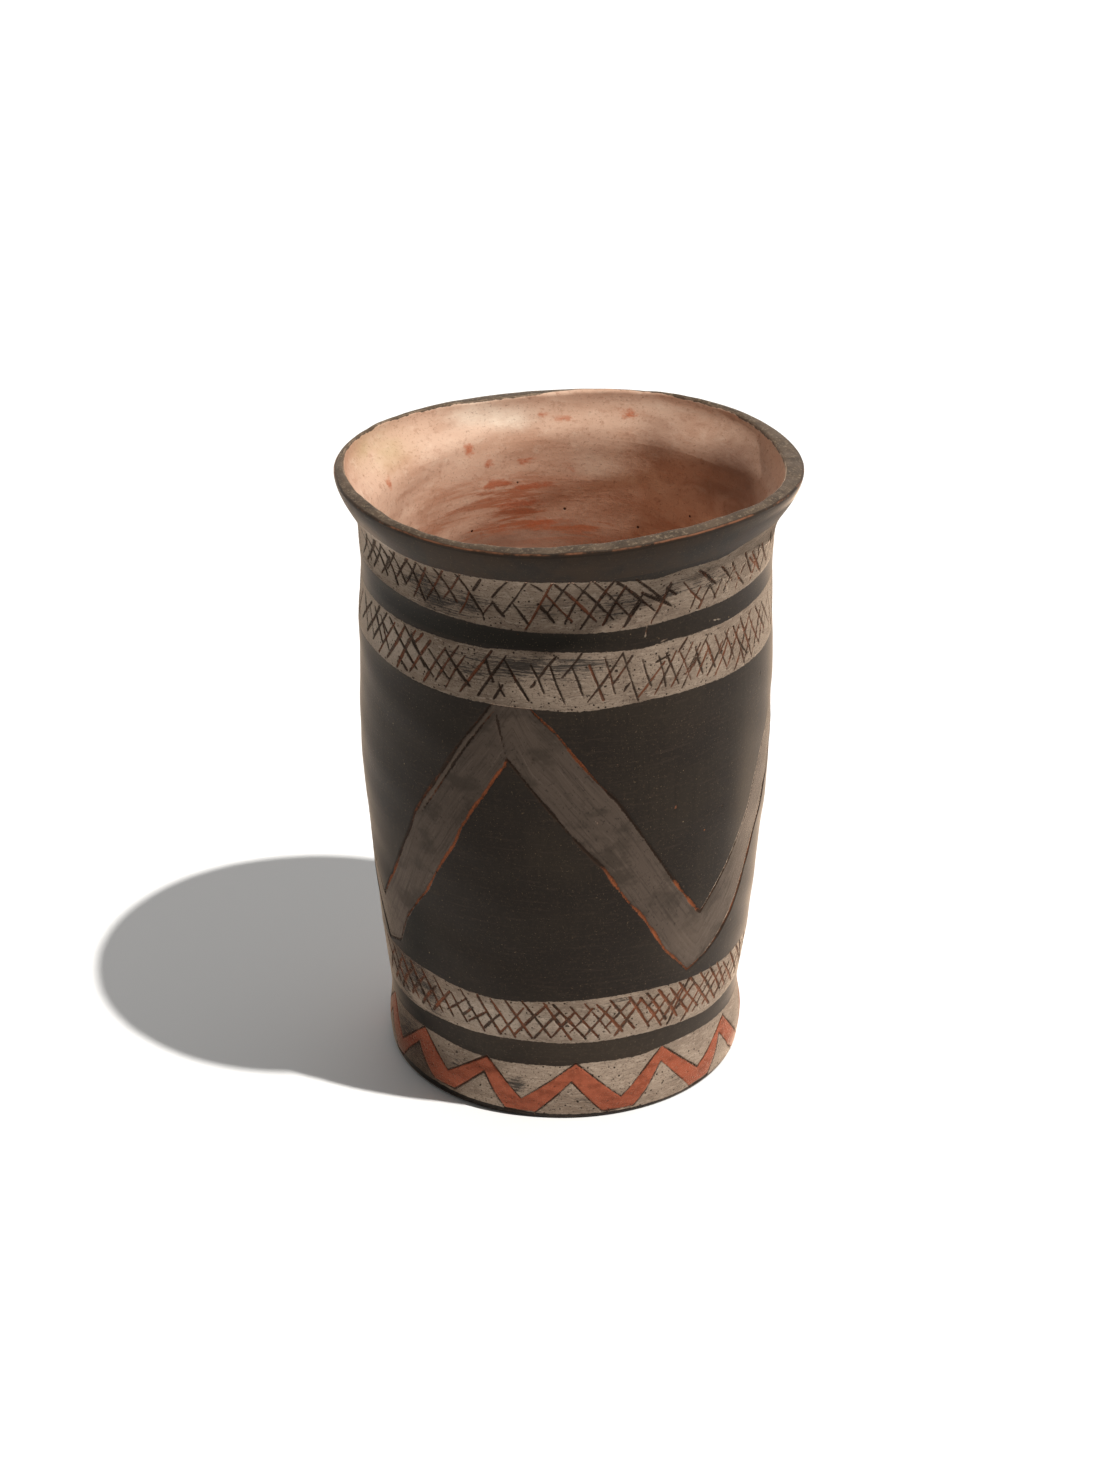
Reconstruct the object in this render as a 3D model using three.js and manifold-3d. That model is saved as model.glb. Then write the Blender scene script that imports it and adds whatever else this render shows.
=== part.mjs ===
import * as THREE from 'three';
import Module from 'manifold-3d';

// A ceremonial beaker, built by hand from a clay disc, six straps of clay and a lip coil,
// laid ring on ring, pressed together over bevelled edges, smoothed, carved and burnished.
// Sizes are in mm. Heights are above the face that the beaker stands on. Azimuths are in
// degrees: 0 faces -Y, the side with the carved peak, and they grow toward +X.

// Height of each strap, and the outer radius that it reaches at its top edge
const BASE_RADIUS = 49.8;
const FOOT_STRAP_HEIGHT = 21.4;
const FOOT_STRAP_RADIUS = 50.1;
const WAIST_STRAP_HEIGHT = 17.9;
const WAIST_STRAP_RADIUS = 52.2;
const LOWER_BELLY_HEIGHT = 46.7;
const LOWER_BELLY_RADIUS = 56.5;
const UPPER_BELLY_HEIGHT = 46.6;
const UPPER_BELLY_RADIUS = 57.0;
const SHOULDER_STRAP_HEIGHT = 22.5;
const SHOULDER_STRAP_RADIUS = 56.3;
const COLLAR_STRAP_HEIGHT = 13.1;
const COLLAR_STRAP_RADIUS = 59.2;
const LIP_COIL_HEIGHT = 9.1;
const RIM_RADIUS = 63.6;

// The foot swells a little past its base, is pinched in below the strap's top, and the
// collar leans out to the lip
const FOOT_SWELL = 0.9;
const FOOT_SWELL_HEIGHT = 7.4;
const FOOT_PINCH = 0.35;
const FOOT_PINCH_BELOW_TOP = 3.8;
const COLLAR_SLOPE = 0.68;
const LIP_SLOPE = 0.05;

// Wall, measured level, and the floor
const FOOT_WALL = 6.4;
const BELLY_WALL = 5.8;
const NECK_WALL = 5.2;
const LIP_WALL = 3.9;
const FLOOR_THICKNESS = 8.6;
const FLOOR_COIL_SIZE = 7.4;
const DISC_BEVEL = 1.6;
const LIP_OUTER_ROUND = 1.2;
const LIP_INNER_ROUND = 1.0;

// Joints: an upper strap overlaps the one below by this drop on the inside, and each
// joint stays open by this clearance
const SCARF_DROP = 5.0;
const JOINT_CLEARANCE = 0.3;

// The hand-made mouth: higher in front than behind, a little oval, and off the axis
const RIM_LIFT_FRONT = 4.3;
const RIM_LIFT_RIGHT = 1.2;
const RIM_OVAL = 0.6;
const RIM_LOBES = 3;
const RIM_LOBE_LIFT = 0.75;
const RIM_LOBE_SWELL = 0.5;
const RIM_LOBE_AZIMUTH = -15;
const LEAN_RIGHT = 1.0;
const LEAN_BACK = 0.5;

// Carved ribbon: a chevron that runs three times round the belly, with an incised line
// down each side and a face scraped a little below the burnished ground
const RIBBON_WIDTH = 13.6;
const RIBBON_DEPTH = 0.4;
const RIBBON_PEAK_BELOW_BELLY_TOP = 1.8;
const RIBBON_VALLEY_ABOVE_BELLY_FOOT = 11.5;
const RIBBON_LINE_WIDTH = 1.5;
const RIBBON_LINE_DEPTH = 0.9;
const RIBBON_TURNS = [-70, -15.7, 42, 103, 165, 227];

// Carved zigzag of the foot: the ten turns that were laid out by eye, the first a valley,
// and then as many even ones as close the ring
const ZIGZAG_WIDTH = 3.9;
const ZIGZAG_DEPTH = 0.5;
const ZIGZAG_PEAK_BELOW_FOOT_TOP = 6.2;
const ZIGZAG_VALLEY_HEIGHT = 4.4;
const ZIGZAG_LINE_WIDTH = 1.0;
const ZIGZAG_LINE_DEPTH = 0.85;
const ZIGZAG_FIRST_TURNS = [-72, -52, -40.6, -26.3, -15, 3.8, 16.3, 33, 49.5, 63.8];
const ZIGZAG_TURNS = 24;

// Fineness of the solids: columns round the axis, and the step of height that each kind of
// face is divided into
const COLUMNS = 64;
const OUTER_STEP = 9;
const INNER_STEP = 17;
const CURVED_STEP = 3.5;
const FLOOR_COIL_STEPS = 5;
const ROUND_STEPS = 2;
const CUT_CLEAR_OF_WALL = 3.0;

const FULL_TURN = 360;
const FOOT_TOP = FOOT_STRAP_HEIGHT;
const WAIST_TOP = FOOT_TOP + WAIST_STRAP_HEIGHT;
const LOWER_BELLY_TOP = WAIST_TOP + LOWER_BELLY_HEIGHT;
const UPPER_BELLY_TOP = LOWER_BELLY_TOP + UPPER_BELLY_HEIGHT;
const SHOULDER_TOP = UPPER_BELLY_TOP + SHOULDER_STRAP_HEIGHT;
const COLLAR_TOP = SHOULDER_TOP + COLLAR_STRAP_HEIGHT;
const RIM_LEVEL = COLLAR_TOP + LIP_COIL_HEIGHT;
const FLOOR_COIL_FOOT = FLOOR_THICKNESS + JOINT_CLEARANCE;
const FLOOR_COIL_TOP = FLOOR_COIL_FOOT + FLOOR_COIL_SIZE;
const INNER_SEAM_LEVELS = [
  FOOT_TOP - SCARF_DROP - JOINT_CLEARANCE / 2,
  FOOT_TOP - SCARF_DROP + JOINT_CLEARANCE / 2,
];
const SHARED_LEVELS = [FLOOR_COIL_TOP, FLOOR_COIL_FOOT, ...INNER_SEAM_LEVELS].sort((a, b) => b - a);

// A curve through stations of level, value and slope. A station without a slope takes the
// slope between its neighbours.
function curveThrough(stations) {
  const slopes = stations.map((station, i) => {
    if (station.slope !== undefined) {
      return station.slope;
    }
    const before = stations[Math.max(i - 1, 0)];
    const after = stations[Math.min(i + 1, stations.length - 1)];
    return (after.value - before.value) / (after.level - before.level);
  });
  return (level) => {
    let i = 0;
    while (i < stations.length - 2 && level > stations[i + 1].level) {
      i += 1;
    }
    const span = stations[i + 1].level - stations[i].level;
    const t = (level - stations[i].level) / span;
    const rise = t * t * (3 - 2 * t);
    const leave = t * (1 - t) * (1 - t) * slopes[i] * span;
    const arrive = t * t * (t - 1) * slopes[i + 1] * span;
    return stations[i].value * (1 - rise) + stations[i + 1].value * rise + leave + arrive;
  };
}

const outerRadius = curveThrough([
  { level: 0, value: BASE_RADIUS },
  { level: FOOT_SWELL_HEIGHT, value: BASE_RADIUS + FOOT_SWELL, slope: 0 },
  { level: FOOT_TOP - FOOT_PINCH_BELOW_TOP, value: FOOT_STRAP_RADIUS - FOOT_PINCH, slope: 0 },
  { level: FOOT_TOP, value: FOOT_STRAP_RADIUS },
  { level: WAIST_TOP, value: WAIST_STRAP_RADIUS },
  { level: LOWER_BELLY_TOP, value: LOWER_BELLY_RADIUS },
  { level: UPPER_BELLY_TOP, value: UPPER_BELLY_RADIUS },
  { level: SHOULDER_TOP, value: SHOULDER_STRAP_RADIUS },
  { level: COLLAR_TOP, value: COLLAR_STRAP_RADIUS, slope: COLLAR_SLOPE },
  { level: RIM_LEVEL, value: RIM_RADIUS, slope: LIP_SLOPE },
]);

const wallThickness = curveThrough([
  { level: 0, value: FOOT_WALL },
  { level: LOWER_BELLY_TOP, value: BELLY_WALL },
  { level: SHOULDER_TOP, value: NECK_WALL },
  { level: RIM_LEVEL, value: LIP_WALL },
]);

// How far a level takes part in the unevenness of the mouth: 0 at the shoulder, 1 at the rim
function mouthShare(level) {
  return THREE.MathUtils.smoothstep(level, SHOULDER_TOP, RIM_LEVEL);
}

// The point at a level and azimuth, set in from the outer face by an inset
function wallPoint(level, azimuth, inset) {
  const angle = THREE.MathUtils.degToRad(azimuth);
  const lobeAngle = RIM_LOBES * (angle - THREE.MathUtils.degToRad(RIM_LOBE_AZIMUTH));
  const lift = RIM_LIFT_FRONT * Math.cos(angle) + RIM_LIFT_RIGHT * Math.sin(angle)
    + RIM_LOBE_LIFT * Math.sin(RIM_LOBES * angle);
  const swell = RIM_OVAL * Math.sin(2 * angle) + RIM_LOBE_SWELL * Math.cos(lobeAngle);
  const height = level + mouthShare(level) * lift;
  const radius = outerRadius(level) + mouthShare(level) * swell - inset;
  return new THREE.Vector3(
    radius * Math.sin(angle) + LEAN_RIGHT * height / RIM_LEVEL,
    -radius * Math.cos(angle) + LEAN_BACK * height / RIM_LEVEL,
    height,
  );
}

// A closed ring from rows of points, each row a loop round the section that is joined to
// the next row. The section runs up the outer face and down the inner face.
function ringGeometry(rows) {
  const positions = [];
  const indices = [];
  const across = rows[0].length;
  for (const point of rows.flat()) {
    positions.push(point.x, point.y, point.z);
  }
  for (let i = 0; i < rows.length; i += 1) {
    const here = i * across;
    const next = ((i + 1) % rows.length) * across;
    for (let j = 0; j < across; j += 1) {
      const k = (j + 1) % across;
      indices.push(here + j, next + j, next + k);
      indices.push(here + j, next + k, here + k);
    }
  }
  const geometry = new THREE.BufferGeometry();
  geometry.setAttribute('position', new THREE.Float32BufferAttribute(positions, 3));
  geometry.setIndex(indices);
  geometry.computeVertexNormals();
  return geometry;
}

// A ring whose section is a list of { level, inset }
function sweepSection(section) {
  const rows = [];
  for (let i = 0; i < COLUMNS; i += 1) {
    const azimuth = FULL_TURN * i / COLUMNS;
    rows.push(section.map(({ level, inset }) => wallPoint(level, azimuth, inset)));
  }
  return ringGeometry(rows);
}

// Levels from one height to another in even steps near a given step, both ends included
function levelsBetween(from, to, step) {
  const count = Math.max(1, Math.round(Math.abs(to - from) / step));
  return Array.from({ length: count + 1 }, (_, i) => from + (to - from) * i / count);
}

function outerFace(bottom, top, step) {
  return levelsBetween(bottom, top, step).map((level) => ({ level, inset: 0 }));
}

// The inner face has a row at each level where a neighbour on the inside begins or ends, so
// that both follow the same facets
function innerFace(top, bottom, step) {
  const shared = SHARED_LEVELS.filter((level) => level < top && level > bottom);
  const stops = [top, ...shared, bottom];
  const levels = [top];
  for (let i = 1; i < stops.length; i += 1) {
    levels.push(...levelsBetween(stops[i - 1], stops[i], step).slice(1));
  }
  return levels.map((level) => ({ level, inset: wallThickness(level) }));
}

// A strap of the wall between two joints. Its lower edge lies over the strap below on the
// inside, and its upper edge is bevelled the same way for the next.
function strapGeometry(bottom, top, outerStep, innerStep) {
  const half = JOINT_CLEARANCE / 2;
  return sweepSection([
    ...outerFace(bottom + half, top - half, outerStep),
    ...innerFace(top - SCARF_DROP - half, bottom - SCARF_DROP + half, innerStep),
  ]);
}

// The inner radius of the wall where the floor meets it, and the disc that fits there
const FLOOR_EDGE_INSET = wallThickness(FLOOR_THICKNESS);

// The lowest strap stands on its edge round the disc, which is bevelled to wedge into it
function footStrapGeometry() {
  const half = JOINT_CLEARANCE / 2;
  return sweepSection([
    ...outerFace(0, FOOT_TOP - half, CURVED_STEP),
    ...innerFace(FOOT_TOP - SCARF_DROP - half, FLOOR_THICKNESS, INNER_STEP),
    { level: 0, inset: FLOOR_EDGE_INSET + DISC_BEVEL },
  ]);
}

// The lip coil ends in a narrow land with rounded edges
function lipCoilGeometry() {
  const half = JOINT_CLEARANCE / 2;
  const land = wallThickness(RIM_LEVEL);
  const section = outerFace(COLLAR_TOP + half, RIM_LEVEL - LIP_OUTER_ROUND, CURVED_STEP);
  for (let i = 1; i <= ROUND_STEPS; i += 1) {
    const turn = (Math.PI / 2) * i / ROUND_STEPS;
    section.push({
      level: RIM_LEVEL - LIP_OUTER_ROUND * (1 - Math.sin(turn)),
      inset: LIP_OUTER_ROUND * (1 - Math.cos(turn)),
    });
  }
  for (let i = 0; i < ROUND_STEPS; i += 1) {
    const turn = (Math.PI / 2) * i / ROUND_STEPS;
    section.push({
      level: RIM_LEVEL - LIP_INNER_ROUND * (1 - Math.cos(turn)),
      inset: land - LIP_INNER_ROUND * (1 - Math.sin(turn)),
    });
  }
  section.push(
    ...innerFace(RIM_LEVEL - LIP_INNER_ROUND, COLLAR_TOP - SCARF_DROP + half, CURVED_STEP),
  );
  return sweepSection(section);
}

// The coil that is pressed into the corner of wall and floor, hollowed by the thumb
function floorCoilGeometry() {
  const wallSide = innerFace(FLOOR_COIL_TOP, FLOOR_COIL_FOOT, INNER_STEP).reverse();
  const section = wallSide.map(({ level, inset }) => ({ level, inset: inset + JOINT_CLEARANCE }));
  const innermost = wallThickness(FLOOR_COIL_TOP) + JOINT_CLEARANCE;
  for (let i = 1; i <= FLOOR_COIL_STEPS; i += 1) {
    const turn = (Math.PI / 2) * i / FLOOR_COIL_STEPS;
    section.push({
      level: FLOOR_COIL_TOP - FLOOR_COIL_SIZE * Math.sin(turn),
      inset: innermost + FLOOR_COIL_SIZE * (1 - Math.cos(turn)),
    });
  }
  return sweepSection(section);
}

// The flat disc that was laid first, wider at its top than at its foot
function baseDiscGeometry() {
  const positions = [];
  const indices = [];
  const rims = [
    { level: 0, inset: FLOOR_EDGE_INSET + DISC_BEVEL + JOINT_CLEARANCE },
    { level: FLOOR_THICKNESS, inset: FLOOR_EDGE_INSET + JOINT_CLEARANCE },
  ];
  for (const { level, inset } of rims) {
    for (let i = 0; i < COLUMNS; i += 1) {
      const point = wallPoint(level, FULL_TURN * i / COLUMNS, inset);
      positions.push(point.x, point.y, point.z);
    }
  }
  const lowCentre = 2 * COLUMNS;
  const highCentre = lowCentre + 1;
  positions.push(0, 0, 0, 0, 0, FLOOR_THICKNESS);
  for (let i = 0; i < COLUMNS; i += 1) {
    const k = (i + 1) % COLUMNS;
    indices.push(i, k, COLUMNS + k, i, COLUMNS + k, COLUMNS + i);
    indices.push(lowCentre, k, i);
    indices.push(highCentre, COLUMNS + i, COLUMNS + k);
  }
  const geometry = new THREE.BufferGeometry();
  geometry.setAttribute('position', new THREE.Float32BufferAttribute(positions, 3));
  geometry.setIndex(indices);
  geometry.computeVertexNormals();
  return geometry;
}

// The cutter for a carved band that zigzags right round the wall. Its turns are { azimuth,
// level }, and its section is a flat face between two incised lines. It is laid out on the
// unrolled wall, mitred at each turn, and wrapped back on.
function bandCutter(turns, width, depth, lineWidth, lineDepth, rollRadius) {
  const perDegree = THREE.MathUtils.degToRad(1) * rollRadius;
  const count = turns.length;
  const corner = (i) => {
    const wraps = Math.floor(i / count);
    const { azimuth, level } = turns[i - wraps * count];
    return new THREE.Vector2((azimuth + FULL_TURN * wraps) * perDegree, level);
  };
  const sideOf = (from, to) => {
    const along = to.clone().sub(from).normalize();
    return new THREE.Vector2(-along.y, along.x);
  };
  const mitreAt = (i) => {
    const before = sideOf(corner(i - 1), corner(i));
    const after = sideOf(corner(i), corner(i + 1));
    const mitre = before.clone().add(after).normalize();
    return mitre.divideScalar(mitre.dot(before));
  };
  const half = width / 2;
  const facet = FULL_TURN / COLUMNS * perDegree;
  const face = levelsBetween(half - lineWidth, lineWidth - half, facet);
  const cover = levelsBetween(-half, half, facet);
  const section = [
    { across: half - lineWidth / 2, inset: lineDepth },
    ...face.map((across) => ({ across, inset: depth })),
    { across: lineWidth / 2 - half, inset: lineDepth },
    ...cover.map((across) => ({ across, inset: -CUT_CLEAR_OF_WALL })),
  ];
  const rows = [];
  for (let i = 0; i < count; i += 1) {
    const from = corner(i);
    const to = corner(i + 1);
    const fromMitre = mitreAt(i);
    const toMitre = mitreAt(i + 1);
    const steps = Math.max(2, Math.ceil((to.x - from.x) / facet));
    for (let step = 0; step < steps; step += 1) {
      const centre = from.clone().lerp(to, step / steps);
      const side = fromMitre.clone().lerp(toMitre, step / steps);
      rows.push(section.map(({ across, inset }) => {
        const spot = centre.clone().addScaledVector(side, across);
        return wallPoint(spot.y, spot.x / perDegree, inset);
      }));
    }
  }
  return ringGeometry(rows);
}

const wasm = await Module();
wasm.setup();

function solidFrom(geometry) {
  return new wasm.Manifold(new wasm.Mesh({
    numProp: 3,
    vertProperties: new Float32Array(geometry.getAttribute('position').array),
    triVerts: new Uint32Array(geometry.getIndex().array),
  }));
}

function carve(geometry, cutter) {
  const carved = solidFrom(geometry).subtract(solidFrom(cutter)).getMesh();
  const result = new THREE.BufferGeometry();
  result.setAttribute('position', new THREE.Float32BufferAttribute(carved.vertProperties, 3));
  result.setIndex(new THREE.Uint32BufferAttribute(carved.triVerts, 1));
  result.computeVertexNormals();
  return result;
}

const ribbonTurns = RIBBON_TURNS.map((azimuth, i) => ({
  azimuth,
  level: i % 2 === 0
    ? WAIST_TOP + RIBBON_VALLEY_ABOVE_BELLY_FOOT
    : UPPER_BELLY_TOP - RIBBON_PEAK_BELOW_BELLY_TOP,
}));
const ribbonCutter = bandCutter(
  ribbonTurns, RIBBON_WIDTH, RIBBON_DEPTH, RIBBON_LINE_WIDTH, RIBBON_LINE_DEPTH, LOWER_BELLY_RADIUS,
);

function zigzagAzimuths() {
  const azimuths = [...ZIGZAG_FIRST_TURNS];
  const last = azimuths[azimuths.length - 1];
  const evenTurns = ZIGZAG_TURNS - azimuths.length + 1;
  const step = (azimuths[0] + FULL_TURN - last) / evenTurns;
  for (let i = 1; i < evenTurns; i += 1) {
    azimuths.push(last + step * i);
  }
  return azimuths;
}
const zigzagTurns = zigzagAzimuths().map((azimuth, i) => ({
  azimuth,
  level: i % 2 === 0 ? ZIGZAG_VALLEY_HEIGHT : FOOT_TOP - ZIGZAG_PEAK_BELOW_FOOT_TOP,
}));
const zigzagCutter = bandCutter(
  zigzagTurns, ZIGZAG_WIDTH, ZIGZAG_DEPTH, ZIGZAG_LINE_WIDTH, ZIGZAG_LINE_DEPTH, FOOT_STRAP_RADIUS,
);

// Finishes: black burnish, pale slip, red ochre slip and the rosy slip of the inside
const BURNISHED_BLACK = { color: 0x37322d, roughness: 0.42, metalness: 0 };
const PALE_SLIP = { color: 0x9c9084, roughness: 0.62, metalness: 0 };
const FOOT_SLIP = { color: 0xa09488, roughness: 0.6, metalness: 0 };
const ROSY_SLIP = { color: 0xcfa487, roughness: 0.55, metalness: 0 };

const beaker = new THREE.Group();

function addPiece(name, geometry, finish) {
  const mesh = new THREE.Mesh(geometry, new THREE.MeshStandardMaterial(finish));
  mesh.name = name;
  beaker.add(mesh);
}

addPiece('base_disc', baseDiscGeometry(), ROSY_SLIP);
addPiece('floor_coil', floorCoilGeometry(), ROSY_SLIP);
addPiece('foot_strap', carve(footStrapGeometry(), zigzagCutter), FOOT_SLIP);
addPiece('waist_strap', strapGeometry(FOOT_TOP, WAIST_TOP, OUTER_STEP, INNER_STEP), PALE_SLIP);
const lowerBelly = strapGeometry(WAIST_TOP, LOWER_BELLY_TOP, OUTER_STEP, INNER_STEP);
addPiece('lower_belly_strap', carve(lowerBelly, ribbonCutter), BURNISHED_BLACK);
const upperBelly = strapGeometry(LOWER_BELLY_TOP, UPPER_BELLY_TOP, OUTER_STEP, INNER_STEP);
addPiece('upper_belly_strap', carve(upperBelly, ribbonCutter), BURNISHED_BLACK);
const shoulder = strapGeometry(UPPER_BELLY_TOP, SHOULDER_TOP, OUTER_STEP, INNER_STEP);
addPiece('shoulder_strap', shoulder, PALE_SLIP);
const collar = strapGeometry(SHOULDER_TOP, COLLAR_TOP, CURVED_STEP, CURVED_STEP);
addPiece('collar_strap', collar, PALE_SLIP);
addPiece('lip_coil', lipCoilGeometry(), BURNISHED_BLACK);

export default beaker;
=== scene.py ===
"""Looks of the ceremonial cup: a hand-built clay beaker, burnished, painted and incised.

Sizes are in millimetres on the wall and are made metres when a mesh is built. A place on the
wall is its azimuth, 0 at the front and rising towards the right, and its level above the table.
"""

import math
import random

import bpy
import numpy as np
from mathutils import Euler, Matrix


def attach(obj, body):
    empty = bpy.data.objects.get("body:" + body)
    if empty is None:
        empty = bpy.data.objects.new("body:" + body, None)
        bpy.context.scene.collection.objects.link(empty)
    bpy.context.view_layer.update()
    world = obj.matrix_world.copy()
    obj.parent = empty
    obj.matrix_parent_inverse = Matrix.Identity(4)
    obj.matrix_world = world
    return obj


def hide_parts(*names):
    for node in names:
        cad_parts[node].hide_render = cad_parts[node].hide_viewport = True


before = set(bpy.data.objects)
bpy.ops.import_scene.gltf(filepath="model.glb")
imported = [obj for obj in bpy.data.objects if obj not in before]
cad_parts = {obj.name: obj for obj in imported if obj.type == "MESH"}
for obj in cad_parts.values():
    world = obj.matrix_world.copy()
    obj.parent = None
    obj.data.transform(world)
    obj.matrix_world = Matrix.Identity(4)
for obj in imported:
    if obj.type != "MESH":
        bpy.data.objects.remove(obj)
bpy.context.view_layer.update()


# Base disc. The pot was begun on a flat cake of clay, patted out by hand and left plain below.
# Its top is the floor of the cup, wiped with the same rosy slip as the inside of the wall. The
# first strap of the wall is wrapped round its slanting edge.
MILLIMETRE = 0.001
FULL_TURN = 360.0
FLOOR_THICKNESS = 8.6
DISC_BEVEL = 1.6
DISC_COLUMNS = 360
DISC_STEP = 1.4
DISC_EDGE_STEPS = 8
DIMPLE_DEPTH = 0.25
DIMPLE_PITCH = 6.0
FLOOR_MARGIN = 0.5
FOOT_TOP = 21.4
WAIST_TOP = 39.3
LOWER_BELLY_TOP = 86.0
UPPER_BELLY_TOP = 132.6
SHOULDER_TOP = 155.1
COLLAR_TOP = 168.2
RIM_LEVEL = 177.3
WALL_OUTLINE = (
    (0.0, 49.8, None),
    (7.4, 50.7, 0.0),
    (17.6, 49.75, 0.0),
    (FOOT_TOP, 50.1, None),
    (WAIST_TOP, 52.2, None),
    (LOWER_BELLY_TOP, 56.5, None),
    (UPPER_BELLY_TOP, 57.0, None),
    (SHOULDER_TOP, 56.3, None),
    (COLLAR_TOP, 59.2, 0.68),
    (RIM_LEVEL, 63.6, 0.05),
)
WALL_THICKNESS = (
    (0.0, 6.4, None),
    (LOWER_BELLY_TOP, 5.8, None),
    (146.0, 5.3, None),
    (158.0, 4.5, None),
    (166.0, 4.1, None),
    (RIM_LEVEL, 3.9, None),
)
RIM_LIFT = ((1, 4.3, 1.2), (2, -0.04, 0.18), (3, -0.25, 0.75), (4, -0.2, 0.0))
RIM_SWELL = ((1, 0.0, 0.32), (2, -0.12, 0.6), (3, 0.354, -0.354), (4, -0.11, 0.0))
LEAN_RIGHT = 1.0
LEAN_BACK = 0.5
OUTER_WAVES = ((2, 61, 0.12, 0.4), (3, 37, 0.10, 2.1), (5, 23, 0.07, 4.0), (9, 13, 0.04, 1.1))
INNER_WAVES = ((2, 48, 0.30, 1.9), (4, 27, 0.22, 0.3), (7, 17, 0.12, 3.3), (11, 9, 0.06, 5.2))


def eased(share):
    """A share of 0 to 1 that leaves 0 and reaches 1 gently."""
    return share * share * (3 - 2 * share)


def curve_through(stations):
    """A smooth curve through stations of level, value and slope, as a function of the level."""
    levels = np.array([level for level, _, _ in stations])
    values = np.array([value for _, value, _ in stations])
    slopes = []
    for i, (_, _, slope) in enumerate(stations):
        before = stations[max(i - 1, 0)]
        after = stations[min(i + 1, len(stations) - 1)]
        mean = (after[1] - before[1]) / (after[0] - before[0])
        slopes.append(mean if slope is None else slope)
    slopes = np.array(slopes)

    def curve(level):
        level = np.asarray(level, float)
        i = np.clip(np.searchsorted(levels, level) - 1, 0, len(levels) - 2)
        span = levels[i + 1] - levels[i]
        t = (level - levels[i]) / span
        rise = eased(t)
        leave = t * (1 - t) ** 2 * slopes[i] * span
        arrive = t * t * (t - 1) * slopes[i + 1] * span
        return values[i] * (1 - rise) + values[i + 1] * rise + leave + arrive

    return curve


outer_radius = curve_through(WALL_OUTLINE)
wall_thickness = curve_through(WALL_THICKNESS)


def waves(harmonics, angle):
    """The sum of cosine and sine waves that run once or more round the rim."""
    return sum(c * np.cos(n * angle) + s * np.sin(n * angle) for n, c, s in harmonics)


def hand_waves(harmonics, angle, level):
    """The slow bumps that a hand leaves in a wall, running round it and up it."""
    total = 0.0
    for turns, pitch, size, phase in harmonics:
        total = total + size * np.sin(turns * angle + level / pitch * math.tau + phase)
    return total


def wall_place(level, azimuth, inset):
    """The point of the wall at a level and azimuth, at a depth below its outer face."""
    level, azimuth, inset = np.broadcast_arrays(level, azimuth, inset)
    angle = np.radians(azimuth)
    share = eased(np.clip((level - SHOULDER_TOP) / (RIM_LEVEL - SHOULDER_TOP), 0, 1))
    height = level + share * waves(RIM_LIFT, angle)
    depth = np.clip(inset / wall_thickness(level), 0, 1)
    grip = np.clip(level / FLOOR_THICKNESS, 0, 1)
    bumps = (1 - depth) * hand_waves(OUTER_WAVES, angle, level)
    bumps = bumps + depth * hand_waves(INNER_WAVES, angle, level)
    radius = outer_radius(level) + share * waves(RIM_SWELL, angle) + grip * bumps - inset
    x = radius * np.sin(angle) + LEAN_RIGHT * height / RIM_LEVEL
    y = -radius * np.cos(angle) + LEAN_BACK * height / RIM_LEVEL
    return np.stack([x, y, height], axis=-1) * MILLIMETRE


def columns_round(count):
    """The azimuths of the columns of a ring, from the back round to the back."""
    return FULL_TURN * np.arange(count) / count - FULL_TURN / 2


def levels_between(low, high, step):
    """Even levels from one to the other, no further apart than the step."""
    count = max(1, math.ceil(abs(high - low) / step))
    return np.linspace(low, high, count + 1)


def store(mesh, name, values, kind="FLOAT"):
    """Keeps one number, or one vector, for each point of a mesh."""
    field = "vector" if kind == "FLOAT_VECTOR" else "value"
    attribute = mesh.attributes.new(name, kind, "POINT")
    attribute.data.foreach_set(field, np.ascontiguousarray(values, np.float32).ravel())


def add_object(name, data):
    """Puts a mesh, a lamp or a camera into the scene as an object at the origin."""
    made = bpy.data.objects.new(name, data)
    bpy.context.scene.collection.objects.link(made)
    return made


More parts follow.
